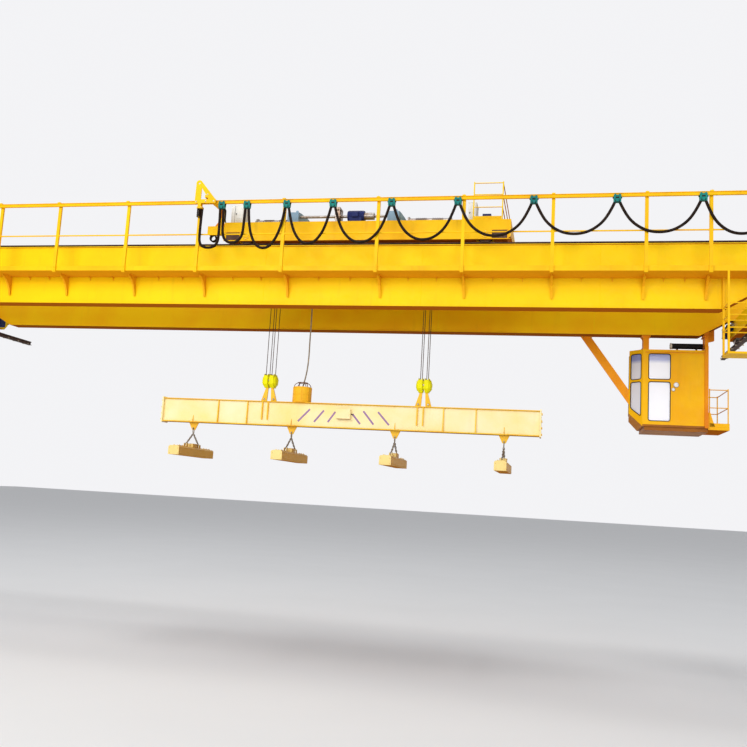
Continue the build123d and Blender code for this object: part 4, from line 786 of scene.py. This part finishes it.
# %% Hook blocks
cheek = [
    (0, 0.084), (0.05, 0.084), (0.056, 0.07), (0.1, 0.068), (0.15, 0.052), (0.172, 0.024), (0.178, 0),
    (0, 0),
]
bm = bmesh.new()
for hook, side in product(hook_spots, (-1, 1)):
    centre = (hook + side * 0.155, 0, block_z)
    bolted_cap(bm, cheek, centre, (side, 0, 0), 0.062, 0.118, (0.5, 2.1, 3.7, 5.3), 0.018, 32)
piece("block_caps", bm, "lifting_beam", lemon)
bm = bmesh.new()
for hook in hook_spots:
    for side, way in product((-1, 1), (-1, 1)):
        pin = [(0, 0.03), (0.02, 0.03), (0.03, 0.022), (0.03, 0), (0, 0)]
        turned(bm, pin, (hook + side * 0.15, way * 0.03, -2.28), (0, way, 0), 16)
    rod(bm, (hook, -0.128, -1.71), (hook, 0.128, -1.71), 0.026)
piece("block_pins", bm, "lifting_beam", bolt_steel)

# %% [markdown]
# A cable carrier is two side plates on four wheels, with a saddle for the cable and a rubber
# buffer at both ends. Each set of fittings rides on its own carrier.

# %% Carrier fittings
carrier_wheel_z = 2.9903
wheel_cap = [(0, 0.012), (0.012, 0.012), (0.02, 0.008), (0.03, 0.006), (0.03, 0), (0, 0)]
carrier_buffer = [(0, 0.024), (0.014, 0.024), (0.022, 0.016), (0.022, 0.004), (0.014, 0), (0, 0)]
for number, x in enumerate(carrier_spots, 1):
    bm = bmesh.new()
    for side in (-1, 1):
        face = track_y + side * 0.055
        for reach in (-1, 1):
            turned(bm, wheel_cap, (x + reach * 0.057, face, carrier_wheel_z), (0, side, 0), 14)
        bolts(bm, [(x - 0.06, face, 2.885), (x + 0.06, face, 2.885)], (0, side, 0), 0.016)
        box(bm, (x - 0.035, face, 2.815), (x + 0.035, face + side * 0.008, 2.93), 0.003)
    piece(f"carrier_{number}_fittings", bm, f"carrier_{number}", teal)
    bm = bmesh.new()
    for way in (-1, 1):
        turned(bm, carrier_buffer, (x + way * 0.095, track_y, 2.93), (way, 0, 0), 14)
    saddle = [(x - 0.07, 2.806), (x + 0.07, 2.806), (x + 0.05, 2.855), (x - 0.05, 2.855)]
    slab(bm, saddle, track_y - 0.047, track_y + 0.047, "Y")
    box(bm, (x - 0.04, track_y - 0.066, 2.9), (x + 0.04, track_y - 0.06, 2.94), 0.002)
    piece(f"carrier_{number}_buffers", bm, f"carrier_{number}", seal_black)
print("carriers fitted", len(carrier_spots))

# %% [markdown]
# The girders are plates welded into a box. A bead, which is a thin slab that catches the light,
# runs along every corner, and small gussets stiffen the walkway between its brackets.

# %% Girders: weld beads and small stiffeners
post_spots = (1.4025, 3.6465, 5.610, 7.854, 10.098, 12.648, 15.351, 17.697, 20.043, 22.389, 23.9445)
web_faces = ((-2.02, -1), (-1.58, 1), (1.58, -1), (2.02, 1))
bead = 0.012


def upright_bead(bm, x, face, way, low, high):
    """A low ridge up a web, where two lengths of plate are joined."""
    slab(bm, [(x - 0.008, face), (x, face + way * 0.004), (x + 0.008, face)], low, high, "Z")


bm = bmesh.new()
for face, way in web_faces:
    out = face + way * bead
    slab(bm, [(face, 0.25), (out, 0.25), (face, 0.25 + bead)], 1.2, 24.3, "X")
    slab(bm, [(face, 1.97), (face, 1.97 - bead), (out, 1.97)], 0.3, 25.2, "X")
    for x in (6.6, 11.9, 16.5, 21.3):
        upright_bead(bm, x, face, way, 0.27, 1.02)
        upright_bead(bm, x, face, way, 1.06, 1.95)
piece("girder_beads", bm, "bridge", yellow)

one = bmesh.new()
slab(one, [(0, 0), (0.16, 0), (0.15, -0.02), (0.05, -0.045), (0.02, -0.1), (0, -0.1)], -0.006, 0.006, "X")
gusset = loose_mesh(one)
bm = bmesh.new()
for (a, b), share, side in product(zip(post_spots, post_spots[1:]), (0.33, 0.67), (-1, 1)):
    place = Matrix.Translation((a + (b - a) * share, side * 2.02, 1.036))
    add_copy(bm, gusset, place @ Matrix.Diagonal((1, side, 1, 1)))
piece("walkway_stiffeners", bm, "bridge", bracket_orange)

# %% [markdown]
# Rails are held down by pressed clips with a bolt. One clip is made and copied along them.

# %% Rail clips
span = 25.5
clip_pitch = 0.6
one = bmesh.new()
slab(one, [(0, 0), (0.055, 0), (0.055, 0.014), (0.012, 0.022), (0, 0.018)], -0.03, 0.03, "X")
rod(one, (0, 0.036, 0.014), (0, 0.036, 0.032), 0.014, 6)
clip = loose_mesh(one)


def clips_along(name, body, turn, middles, start, end, half_foot, height):
    """Pairs of clips along two rails that run along X, or along Y after a quarter turn."""
    bm = bmesh.new()
    count = int((end - start) / clip_pitch) + 1
    for middle, i, side in product(middles, range(count), (-1, 1)):
        place = Matrix.Translation((start + i * clip_pitch, middle + side * half_foot, height))
        add_copy(bm, clip, Matrix.Rotation(turn, 4, "Z") @ place @ Matrix.Diagonal((1, side, 1, 1)))
    piece(name, bm, body, bolt_steel)


clips_along("trolley_rail_clips", "bridge", 0, (-1.8, 1.8), 0.6, 25.0, 0.056, 1.99)
clips_along("runway_rail_clips", "runway", math.pi / 2, (0, -span), -4.2, 4.2, 0.066, 0)

# %% [markdown]
# The posts are bolted to the walkway's edge channel, and the festoon track hangs from their
# arms. Collars stand where a rail enters a post.

# %% Posts, rails and track: bolts and collars
rail_collar = [(0.019, 0), (0.03, 0), (0.03, 0.006), (0.023, 0.02), (0.019, 0.02)]
foot_collar = [(0.02, 0), (0.038, 0), (0.038, 0.008), (0.026, 0.024), (0.02, 0.024)]
bm = bmesh.new()
for x in post_spots:
    bolts(bm, [(x, -2.86, 1.03), (x, -2.86, 1.13)], (0, -1, 0), 0.028)
    bolts(bm, [(x, -2.945, 3.083), (x, -2.905, 3.083)], along_z, 0.018)
piece("post_bolts", bm, "bridge", post_yellow)

bm = bmesh.new()
for x, side in product(post_spots, (-1, 1)):
    if 1.2 < x + side * 0.06 < 24.2:
        turned(bm, rail_collar, (x + side * 0.045, -2.83, 2.087), (side, 0, 0), 14)
for i in range(12):
    turned(bm, foot_collar, (0.2 + i * 25.3 / 11, 2.78, 1.175), along_z, 14)
piece("rail_collars", bm, "bridge", post_yellow)

# %% [markdown]
# An end carriage has bolted covers over its axle boxes, hatches on top and ribbed rubber on its
# buffers. The travel drives have cooling ribs and a fan cover.

# %% End carriages and travel drives
axle_z, hatch_top, buffer_z, drive_z = 0.39, 0.74, 0.57, 0.48
axle_cover = [(0, 0.016), (0.05, 0.016), (0.056, 0.008), (0.082, 0.006), (0.086, 0), (0, 0)]
ribbed_rubber = [
    (0.079, 0), (0.1, 0), (0.1, 0.02), (0.087, 0.035), (0.083, 0.05), (0.09, 0.075), (0.083, 0.1),
    (0.09, 0.125), (0.083, 0.15), (0.079, 0.15),
]
fan_cover = [(0.104, 0), (0.108, 0), (0.108, 0.05), (0.09, 0.062), (0.09, 0.05), (0, 0.05)]


def cooling_ribs(bm, start, way, count, pitch, radius, rise, width, sides):
    """Thin rings in a row round a motor."""
    rib = [(radius, 0), (radius + rise, 0.002), (radius + rise, width - 0.002), (radius, width)]
    for i in range(count):
        turned(bm, rib, Vector(start) + Vector(way) * i * pitch, way, sides)


bm = bmesh.new()
for rail_x, drive_side in ((0, 1), (span, -1)):
    for side, y in product((-1, 1), (-2.2, 2.2)):
        if side != drive_side or y < 0:
            x = rail_x + side * 0.22
            bolted_cap(bm, axle_cover, (x, y, axle_z), (side, 0, 0), 0.006, 0.07, four_round, 0.014)
piece("axle_covers", bm, "bridge", bolt_steel)

bm = bmesh.new()
for x, y in product((0, span), (-1.1, -0.35, 0.35, 1.1)):
    box(bm, (x - 0.12, y - 0.22, 0.73), (x + 0.12, y + 0.22, hatch_top), 0.003)
    corner_bolts(bm, (x, y, hatch_top), (0.095, 0.19, 0), along_z, 0.018)
piece("carriage_hatches", bm, "bridge", yellow)

bm = bmesh.new()
for x, side in product((0, span), (-1, 1)):
    turned(bm, ribbed_rubber, (x, side * 2.77, buffer_z), (0, side, 0), 28)
piece("buffer_rubbers", bm, "bridge", seal_black)

bm = bmesh.new()
for x, side in ((0.31, 1), (25.19, -1)):
    cooling_ribs(bm, (x, 1.70, drive_z), (0, 1, 0), 12, 0.029, 0.104, 0.01, 0.01, 24)
    turned(bm, fan_cover, (x, 1.69, drive_z), (0, -1, 0))
    corner_bolts(bm, (x + side * 0.09, 2.2, 0.43), (0, 0.095, 0.13), (side, 0, 0), 0.018)
    box(bm, (x - 0.05, 1.82, 0.58), (x + 0.05, 1.94, 0.63), 0.006)
piece("travel_drive_ribs", bm, "bridge", motor_blue)

# %% [markdown]
# The trolley carries the hoist. Two gearboxes turn the drums, one motor drives both through a
# long shaft, and a brake clasps that shaft. Each cabinet has a door with slats.

# %% Trolley frame and rail
deck_top, trolley_side, wheel_z = 2.73, 1.95, 2.31
wheel_cover = [(0, 0.02), (0.06, 0.02), (0.066, 0.01), (0.1, 0.008), (0.104, 0), (0, 0)]
bm = bmesh.new()
for side in (-1, 1):
    face = side * trolley_side
    out = face + side * 0.02
    slab(bm, [(face, 2.16), (out, 2.16), (out, 2.175), (face, 2.175)], 10.5, 18.9, "X")
    for x in (12.6, 14.7, 16.9):
        upright_bead(bm, x, face, side, 2.18, 2.72)
    for x in (11.2, 18.2):
        turned(bm, wheel_cover, (x, face, wheel_z), (0, side, 0))
box(bm, (17.87, -1.904, deck_top), (18.63, -1.896, 2.84), 0.002)
box(bm, (18.646, -1.88, deck_top), (18.654, 1.38, 2.84), 0.002)
piece("trolley_trim", bm, "trolley", trolley_yellow)

bm = bmesh.new()
covers = bmesh.new()
for middle, way in product((10.79, 18.6), (-1, 1)):
    face = way * trolley_side
    out = face + way * 0.014
    box(bm, (middle - 0.24, face, 2.42), (middle + 0.24, out, 2.45), 0.004)
    for x in (middle - 0.225, middle + 0.225):
        box(bm, (x - 0.015, face, 2.18), (x + 0.015, out, 2.42), 0.004)
    box(covers, (middle - 0.21, face, 2.19), (middle + 0.21, face + way * 0.006, 2.42), 0.003)
piece("wheel_housing_frames", bm, "trolley", bracket_orange)
piece("wheel_housing_covers", covers, "trolley", rail_brown)

bm = bmesh.new()
for side, x in product((-1, 1), (11.2, 18.2)):
    bolt_circle(bm, (x, side * 1.958, wheel_z), (0, side, 0), 0.083, six_round, 0.014)
piece("trolley_wheel_bolts", bm, "trolley", bolt_steel)

# %% Hoist gearboxes, motors and brake
shaft_y, shaft_z = -1.45, 3.03
brake_x, brake_z = 13.86, 3.19
breather = [(0, 0.07), (0.022, 0.064), (0.03, 0.04), (0.014, 0.03), (0.014, 0), (0, 0)]
lifting_eye = [(0.012, 0), (0.036, 0), (0.036, 0.05), (0.03, 0.058), (0.012, 0.058), (0.012, 0)]
motor_fan = [(0.106, 0), (0.112, 0), (0.112, 0.06), (0.094, 0.074), (0.094, 0.06), (0, 0.06)]
drum_cap = [(0, 0.022), (0.06, 0.022), (0.068, 0.01), (0.095, 0.008), (0.095, 0), (0, 0)]
bm = bmesh.new()
for low_x, high_x, drum_side in ((12.32, 12.66, -1), (15.34, 15.68, 1)):
    middle = (low_x + high_x) / 2
    box(bm, (low_x + 0.05, -1.1, 3.23), (high_x - 0.05, -0.72, 3.242), 0.003)
    turned(bm, breather, (middle, -0.5, 3.23), along_z, 16)
    for y in (-1.3, -0.35):
        turned(bm, lifting_eye, (middle - 0.006, y, 3.252), along_x, 14)
    drum_face, shaft_face = (low_x, high_x) if drum_side > 0 else (high_x, low_x)
    for face, way, y, z, radius in (
        (drum_face, -drum_side, drum_y, drum_z, 0.13), (shaft_face, drum_side, shaft_y, shaft_z, 0.09),
        (low_x, -1, -0.96, 2.98, 0.1), (high_x, 1, -0.96, 2.98, 0.1),
    ):
        cap = [(0, 0.018), (radius * 0.6, 0.018), (radius * 0.7, 0.01), (radius, 0.008), (radius, 0)]
        cap.append((0, 0))
        angles = [angle + 0.1 for angle in six_round]
        bolted_cap(bm, cap, (face, y, z), (way, 0, 0), 0.008, radius * 0.85, angles, 0.014, 28)
piece("gearbox_covers", bm, "trolley", gear_blue)

bm = bmesh.new()
cooling_ribs(bm, (14.165, shaft_y, shaft_z), along_x, 16, 0.028, 0.155, 0.015, 0.011, 28)
box(bm, (14.3, -1.672, 2.975), (14.47, -1.66, 3.085), 0.004)
cooling_ribs(bm, (18.2, -1.36, 2.86), (0, 1, 0), 10, 0.032, 0.106, 0.012, 0.011, 24)
turned(bm, motor_fan, (18.2, -1.02, 2.86), (0, 1, 0))
corner_bolts(bm, (18.2, -1.65, 2.86), (0.09, 0, 0.09), (0, -1, 0), 0.018)
piece("motor_ribs", bm, "trolley", motor_blue)

bm = bmesh.new()
rod(bm, (brake_x, shaft_y - 0.27, brake_z), (brake_x, shaft_y + 0.27, brake_z), 0.011, 10)
for side in (-1, 1):
    nut = [(0, 0), (0.024, 0), (0.024, 0.018), (0, 0.018)]
    turned(bm, nut, (brake_x, shaft_y + side * 0.235, brake_z), (0, side, 0), 6)
    spring = helix((brake_x, shaft_y + side * 0.192, brake_z), 0.026, 0.7, side * 0.0008, 54, "Y")
    tube(bm, spring, 0.005, 6)
for x, way in ((10.95, -1), (12.25, 1), (15.75, -1), (17.05, 1)):
    bolt_circle(bm, (x, drum_y, drum_z), (way, 0, 0), 0.2, six_round, 0.016)
for x, way in ((10.84, -1), (17.16, 1)):
    bolted_cap(bm, drum_cap, (x, drum_y, drum_z), (way, 0, 0), 0.008, 0.08, four_round, 0.014)
piece("hoist_bolts_and_brake_rod", bm, "trolley", bolt_steel)

# %% Cabinet doors
def cabinet_door(bm, left, right, face, low, high):
    """A door panel with slats and hinges, on a face that looks to -Y."""
    front = face - 0.008
    box(bm, (left, front, low), (right, face, high), 0.004)
    for i in range(5):
        z = low + 0.07 + i * 0.03
        slab(bm, [(front, z), (face - 0.02, z - 0.004), (front, z + 0.014)], left + 0.03, right - 0.03, "X")
    for share in (0.2, 0.8):
        z = low + (high - low) * share
        rod(bm, (right + 0.004, front, z - 0.025), (right + 0.004, front, z + 0.025), 0.008, 8)


bm = bmesh.new()
cabinet_door(bm, 17.69, 17.87, -1.56, 2.78, 3.31)
cabinet_door(bm, 10.70, 10.91, -1.64, 2.78, 3.41)
box(bm, (17.662, -1.53, 2.78), (17.67, -1.27, 3.31), 0.004)
box(bm, (17.662, -1.25, 2.78), (17.67, -0.99, 3.31), 0.004)
box(bm, (17.66, -1.57, 3.35), (17.9, -0.95, 3.362), 0.004)
box(bm, (10.67, -1.65, 3.45), (10.94, -1.23, 3.462), 0.004)
piece("cabinet_doors", bm, "trolley", cabinet_pale)
lock = [(0, 0.012), (0.014, 0.01), (0.018, 0.004), (0.018, 0), (0, 0)]
bm = bmesh.new()
for x, y, z in ((17.71, -1.568, 3.06), (10.72, -1.648, 3.1)):
    turned(bm, lock, (x, y, z), (0, -1, 0), 12)
    box(bm, (x - 0.006, y - 0.02, z - 0.045), (x + 0.006, y - 0.01, z + 0.01), 0.003)
for y in (-1.29, -1.23):
    box(bm, (17.644, y - 0.007, 3.0), (17.662, y + 0.007, 3.1), 0.004)
piece("cabinet_handles", bm, "trolley", seal_black)

# %% [markdown]
# The tow arm pulls the first loop. A post and an outrigger carry a frame of three bars round a
# large opening, and it takes the place of the plain solid. The leads run from the clamp over
# the outrigger and down the post, and spare turns hang under it.

# %% Tow arm: frame on its outrigger
plate_near, plate_far = -3.05, -3.026
apex_x, apex_z = 10.10, 3.54
post_low, post_high = 2.64, 3.198
upright = [
    (10.0, 2.95), (10.18, 2.95), (10.188, 3.53), (10.14, 3.515), (apex_x, 3.5), (10.06, 3.515),
    (10.012, 3.53),
]
foot_bar = [(10.18, 2.95), (10.64, 2.95), (10.64, 3.06), (10.18, 3.06)]
diagonal = [(10.168, 3.602), (10.13, 3.49), (10.425, 3.05), (10.635, 3.05)]
apex_ring = [(0.03, 0), (0.09, 0), (0.09, 0.03), (0.03, 0.03), (0.03, 0)]
bm = bmesh.new()
box(bm, (9.95, -1.90, 2.40), (10.50, -1.70, post_low), 0.006)
box(bm, (10.29, -1.86, post_low), (10.40, -1.74, post_high), 0.006)
box(bm, (10.29, plate_far, 3.118), (10.40, -1.74, post_high), 0.006)
slab(bm, upright, plate_near, plate_far, "Y")
slab(bm, foot_bar, plate_near, plate_far, "Y")
slab(bm, diagonal, plate_near + 0.002, plate_far - 0.002, "Y")
turned(bm, apex_ring, (apex_x, plate_near - 0.003, apex_z), (0, 1, 0), 28)
box(bm, (10.10, plate_near, 2.861), (10.20, plate_far, 2.95), 0.003)
box(bm, (10.07, plate_near, clamp_bottom), (10.23, -2.892, 2.861), 0.006)
tow_frame = piece("tow_arm_frame", bm, "trolley", post_yellow)
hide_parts("tow_arm")

# %% Tow arm: gussets, bolts and leads
lead_route = (
    (10.15, -2.996, 2.845), (10.15, -2.996, 2.95), (10.18, -2.996, 3.005), (10.28, -2.996, 3.01),
    (10.38, -2.996, 3.01), (10.425, -2.996, 3.04), (10.425, -2.996, 3.1), (10.425, -2.996, 3.18),
    (10.42, -2.985, 3.225), (10.37, -2.93, 3.226), (10.345, -2.8, 3.222),
    (10.345, -2.5, 3.22), (10.345, -2.1, 3.22), (10.345, -1.86, 3.226),
    (10.43, -1.78, 3.2), (10.43, -1.78, 3.0), (10.43, -1.78, 2.8),
    (10.47, -1.7, 2.757), (10.6, -1.6, 2.757), (10.61, -1.55, 2.8), (10.61, -1.5, 2.9),
)
bm = bmesh.new()
slab(bm, [(10.29, post_low), (10.12, post_low), (10.29, 2.88)], -1.806, -1.794, "Y")
slab(bm, [(10.40, post_low), (10.49, post_low), (10.40, 2.8)], -1.806, -1.794, "Y")
slab(bm, [(-1.86, 3.118), (-2.06, 3.118), (-1.86, 2.9)], 10.339, 10.351, "X")
piece("tow_arm_gussets", bm, "trolley", brace_orange)
bm = bmesh.new()
for x, z in ((10.05, 3.0), (10.34, 3.0), (10.58, 3.0), (10.38, 3.2)):
    bolts(bm, [(x, plate_near, z)], (0, -1, 0))
corner_bolts(bm, (tow_clamp, plate_near, 2.831), (0.055, 0, 0), (0, -1, 0), 0.018)
piece("tow_arm_bolts", bm, "trolley", bolt_steel)
bm = bmesh.new()
tube(bm, spline_points(lead_route), 0.022)
tube(bm, helix((10.13, -2.96, 2.56), 0.056, 0.45, 0.0029, 84, "Z"), 0.015)
tube(bm, helix((10.12, -1.86, 2.29), 0.094, 0.45, 0.0021, 56, "Y"), 0.02)
for y in (-2.7, -2.25):
    box(bm, (10.28, y - 0.015, post_high), (10.41, y + 0.015, post_high + 0.04), 0.006)
piece("tow_arm_leads", bm, "trolley", cable_black)

# %% [markdown]
# The cab's panes sit in black rubber: each seal is one closed tube round its opening. Lamps are
# fixed to the side wall, and hinges and a bar handle to the door. Nothing here turns.

# %% Cab: window seals
seal_radius = 0.013
window_corner = 0.07
lower_top, upper_sill, upper_top = -1.18, -1.10, -0.33


def window_seal(bm, middle, across, width, left_sill, right_sill, top):
    """A seal round an opening in an upright wall. Across is a level direction along the wall."""
    across = Vector((*across, 0)).normalized() * width / 2
    left, right = Vector((*middle, 0)) - across, Vector((*middle, 0)) + across
    heights = ((left, left_sill), (right, right_sill), (right, top), (left, top))
    corners = [Vector((end.x, end.y, z)) for end, z in heights]
    points = []
    for i, here in enumerate(corners):
        before = here + (corners[i - 1] - here).normalized() * window_corner
        after = here + (corners[(i + 1) % 4] - here).normalized() * window_corner
        for t in (0, 0.25, 0.5, 0.75, 1):
            points.append(before * (1 - t) ** 2 + here * 2 * t * (1 - t) + after * t ** 2)
    tube(bm, points, seal_radius, 6, closed=True)


bm = bmesh.new()
for middle, across, width, left_sill, right_sill in (
    ((23.225, 1.62), (1, 0), 0.62, -2.35, -2.35), ((23.225, 3.45), (1, 0), 0.62, -2.35, -2.35),
    ((22.565, 1.805), (1, -1), 0.39, -1.956, -2.223),
    ((22.435, 2.72), (-0.0751, -0.9972), 1.164, -2.08, -2.08),
):
    window_seal(bm, middle, across, width, left_sill, right_sill, lower_top)
    window_seal(bm, middle, across, width, upper_sill, upper_sill, upper_top)
window_seal(bm, (24.60, 2.535), (0, 1), 0.46, -1.30, -1.30, -0.70)
piece("window_seals", bm, "bridge", seal_black)

# %% Cab: lamps, door fittings, roof pipe
side_wall = 1.62
lamps = ((23.70, -1.26, 0.07), (23.62, -1.40, 0.047))
bm = bmesh.new()
for x, z, radius in lamps:
    glass = [
        (0, 0.05), (radius * 0.5, 0.048), (radius * 0.85, 0.036), (radius, 0.02), (radius, 0.006),
        (radius * 0.7, 0), (0, 0),
    ]
    turned(bm, glass, (x, side_wall, z), (0, -1, 0), 28)
piece("cab_lamps", bm, "bridge", lamp_white)
bm = bmesh.new()
for x, z, radius in lamps:
    rim = [(radius, 0.008), (radius + 0.009, 0.008), (radius + 0.009, 0.026), (radius - 0.002, 0.03)]
    turned(bm, rim, (x, side_wall, z), (0, -1, 0), 28)
rod(bm, (24.645, 2.25, -1.72), (24.645, 2.25, -1.45), 0.012, 10)
for z in (-1.7, -1.47):
    rod(bm, (24.60, 2.25, z), (24.645, 2.25, z), 0.009, 8)
for z in (-2.2, -1.5, -0.8):
    rod(bm, (24.607, 2.9, z - 0.06), (24.607, 2.9, z + 0.06), 0.014, 10)
bolts(bm, product((22.74, 22.925, 24.49, 24.575), (1.74, 1.9), (0.205,)), (0, 0, -1), 0.02)
bolts(bm, [(21.0, 1.97, 0.21), (21.22, 1.97, 0.21)], (0, 0, -1), 0.024)
piece("cab_bolts_and_handle", bm, "bridge", bolt_steel)

pipe_y, pipe_z = 1.9, -0.04
pipe = [(0, 0), (0.078, 0), (0.085, 0.01), (0.085, 0.9), (0.078, 0.91), (0, 0.91)]
pipe_collar = [
    (0.06, 0), (0.088, 0), (0.092, 0.006), (0.092, 0.05), (0.088, 0.056), (0.06, 0.056), (0.06, 0.03),
    (0, 0.03),
]
bm = bmesh.new()
turned(bm, pipe, (23.57, pipe_y, pipe_z), along_x, 28)
for x in (23.75, 24.3):
    saddle = [(pipe_y - 0.09, -0.20), (pipe_y + 0.09, -0.20), (pipe_y + 0.06, -0.1), (pipe_y - 0.06, -0.1)]
    slab(bm, saddle, x - 0.02, x + 0.02, "X")
piece("cab_roof_pipe", bm, "bridge", seal_black)
bm = bmesh.new()
turned(bm, pipe_collar, (23.545, pipe_y, pipe_z), along_x, 28)
piece("cab_pipe_collar", bm, "bridge", cabinet_pale)

# %% Cab: drip edge, hanger pads and balcony
floor_z = -2.47
bm = bmesh.new()
slab(bm, [(1.62, -0.27), (1.592, -0.282), (1.592, -0.29), (1.62, -0.29)], 22.82, 24.58, "X")
for x0, x1 in ((22.70, 22.965), (24.45, 24.60)):
    box(bm, (x0, 1.58, 0.205), (x1, 2.05, 0.23), 0.004)
box(bm, (20.95, 1.93, 0.21), (21.27, 2.05, 0.23), 0.004)
piece("cab_trim", bm, "bridge", brace_orange)

bm = bmesh.new()
for i in range(16):
    y = 1.70 + i * 0.11
    slab(bm, [(y - 0.01, floor_z), (y + 0.01, floor_z), (y, floor_z + 0.008)], 24.63, 25.15, "X")
box(bm, (25.182, 1.63, floor_z), (25.19, 3.44, -2.36), 0.002)
box(bm, (24.64, 1.62, floor_z), (25.18, 1.628, -2.36), 0.002)
box(bm, (24.64, 3.442, floor_z), (25.18, 3.45, -2.36), 0.002)
for i in range(9):
    x = 24.40 + i * 0.1
    slab(bm, [(x - 0.008, -1.0), (x + 0.008, -1.0), (x, -0.993)], -2.74, -2.13, "Y")
piece("balcony_tread_and_kick_plates", bm, "bridge", cab_yellow)

# %% [markdown]
# The set is a pale floor well below the magnets, under broad and soft lamps. The background is
# white only to the camera and to reflections, so it adds no light of its own.

# %% Floor and background
floor_level = -9.6
bm = bmesh.new()
bmesh.ops.create_grid(bm, x_segments=1, y_segments=1, size=160)
bmesh.ops.translate(bm, vec=(12, 60, floor_level), verts=bm.verts)
studio_floor, tree, shader = new_material("studio_floor")
pale = mix_color(tree, noise(tree, 0.3), (0.78, 0.78, 0.78), (0.82, 0.82, 0.82))
feed(tree, shader, {"Base Color": pale, "Roughness": 0.9})
piece("studio_floor", bm, None, studio_floor)

world = bpy.data.worlds.new("studio")
bpy.context.scene.world = world
world.use_nodes = True
tree = world.node_tree
sky = tree.nodes["Background"]
feed(tree, sky, {"Color": (0.84, 0.86, 0.9), "Strength": 0.5})
white = new_node(tree, "ShaderNodeBackground", {"Color": (0.9, 0.9, 0.92)})
rays = tree.nodes.new("ShaderNodeLightPath")
seen = arithmetic(tree, "ADD", rays.outputs["Is Camera Ray"], rays.outputs["Is Glossy Ray"])
seen = arithmetic(tree, "ADD", seen, rays.outputs["Is Transmission Ray"])
choice = new_node(tree, "ShaderNodeMixShader", {0: seen, 1: sky.outputs[0], 2: white.outputs[0]})
feed(tree, tree.nodes["World Output"], {"Surface": choice.outputs[0]})


# %% Lamps
def lamp(name, kind, power, place, target, size=0.0, angle=0.0):
    """A lamp that looks from its place at a target."""
    data = bpy.data.lights.new(name, kind)
    data.energy = power
    if kind == "AREA":
        data.size = size
    else:
        data.angle = angle
    obj = bpy.data.objects.new(name, data)
    obj.location = place
    obj.rotation_euler = (Vector(target) - Vector(place)).to_track_quat("-Z", "Y").to_euler()
    bpy.context.scene.collection.objects.link(obj)


lamp("key", "AREA", 5200, (2, -34, 12), (13, 0, 0), size=14)
lamp("low_front", "SUN", 1.3, (0, 0, 0), (-5, 36, -2), angle=0.5)
lamp("overhead", "AREA", 15000, (13, -4, 60), (13, -3, 0), size=30)
bpy.context.scene.view_settings.view_transform = "Standard"
print("lit by", len(bpy.data.lights), "lamps")
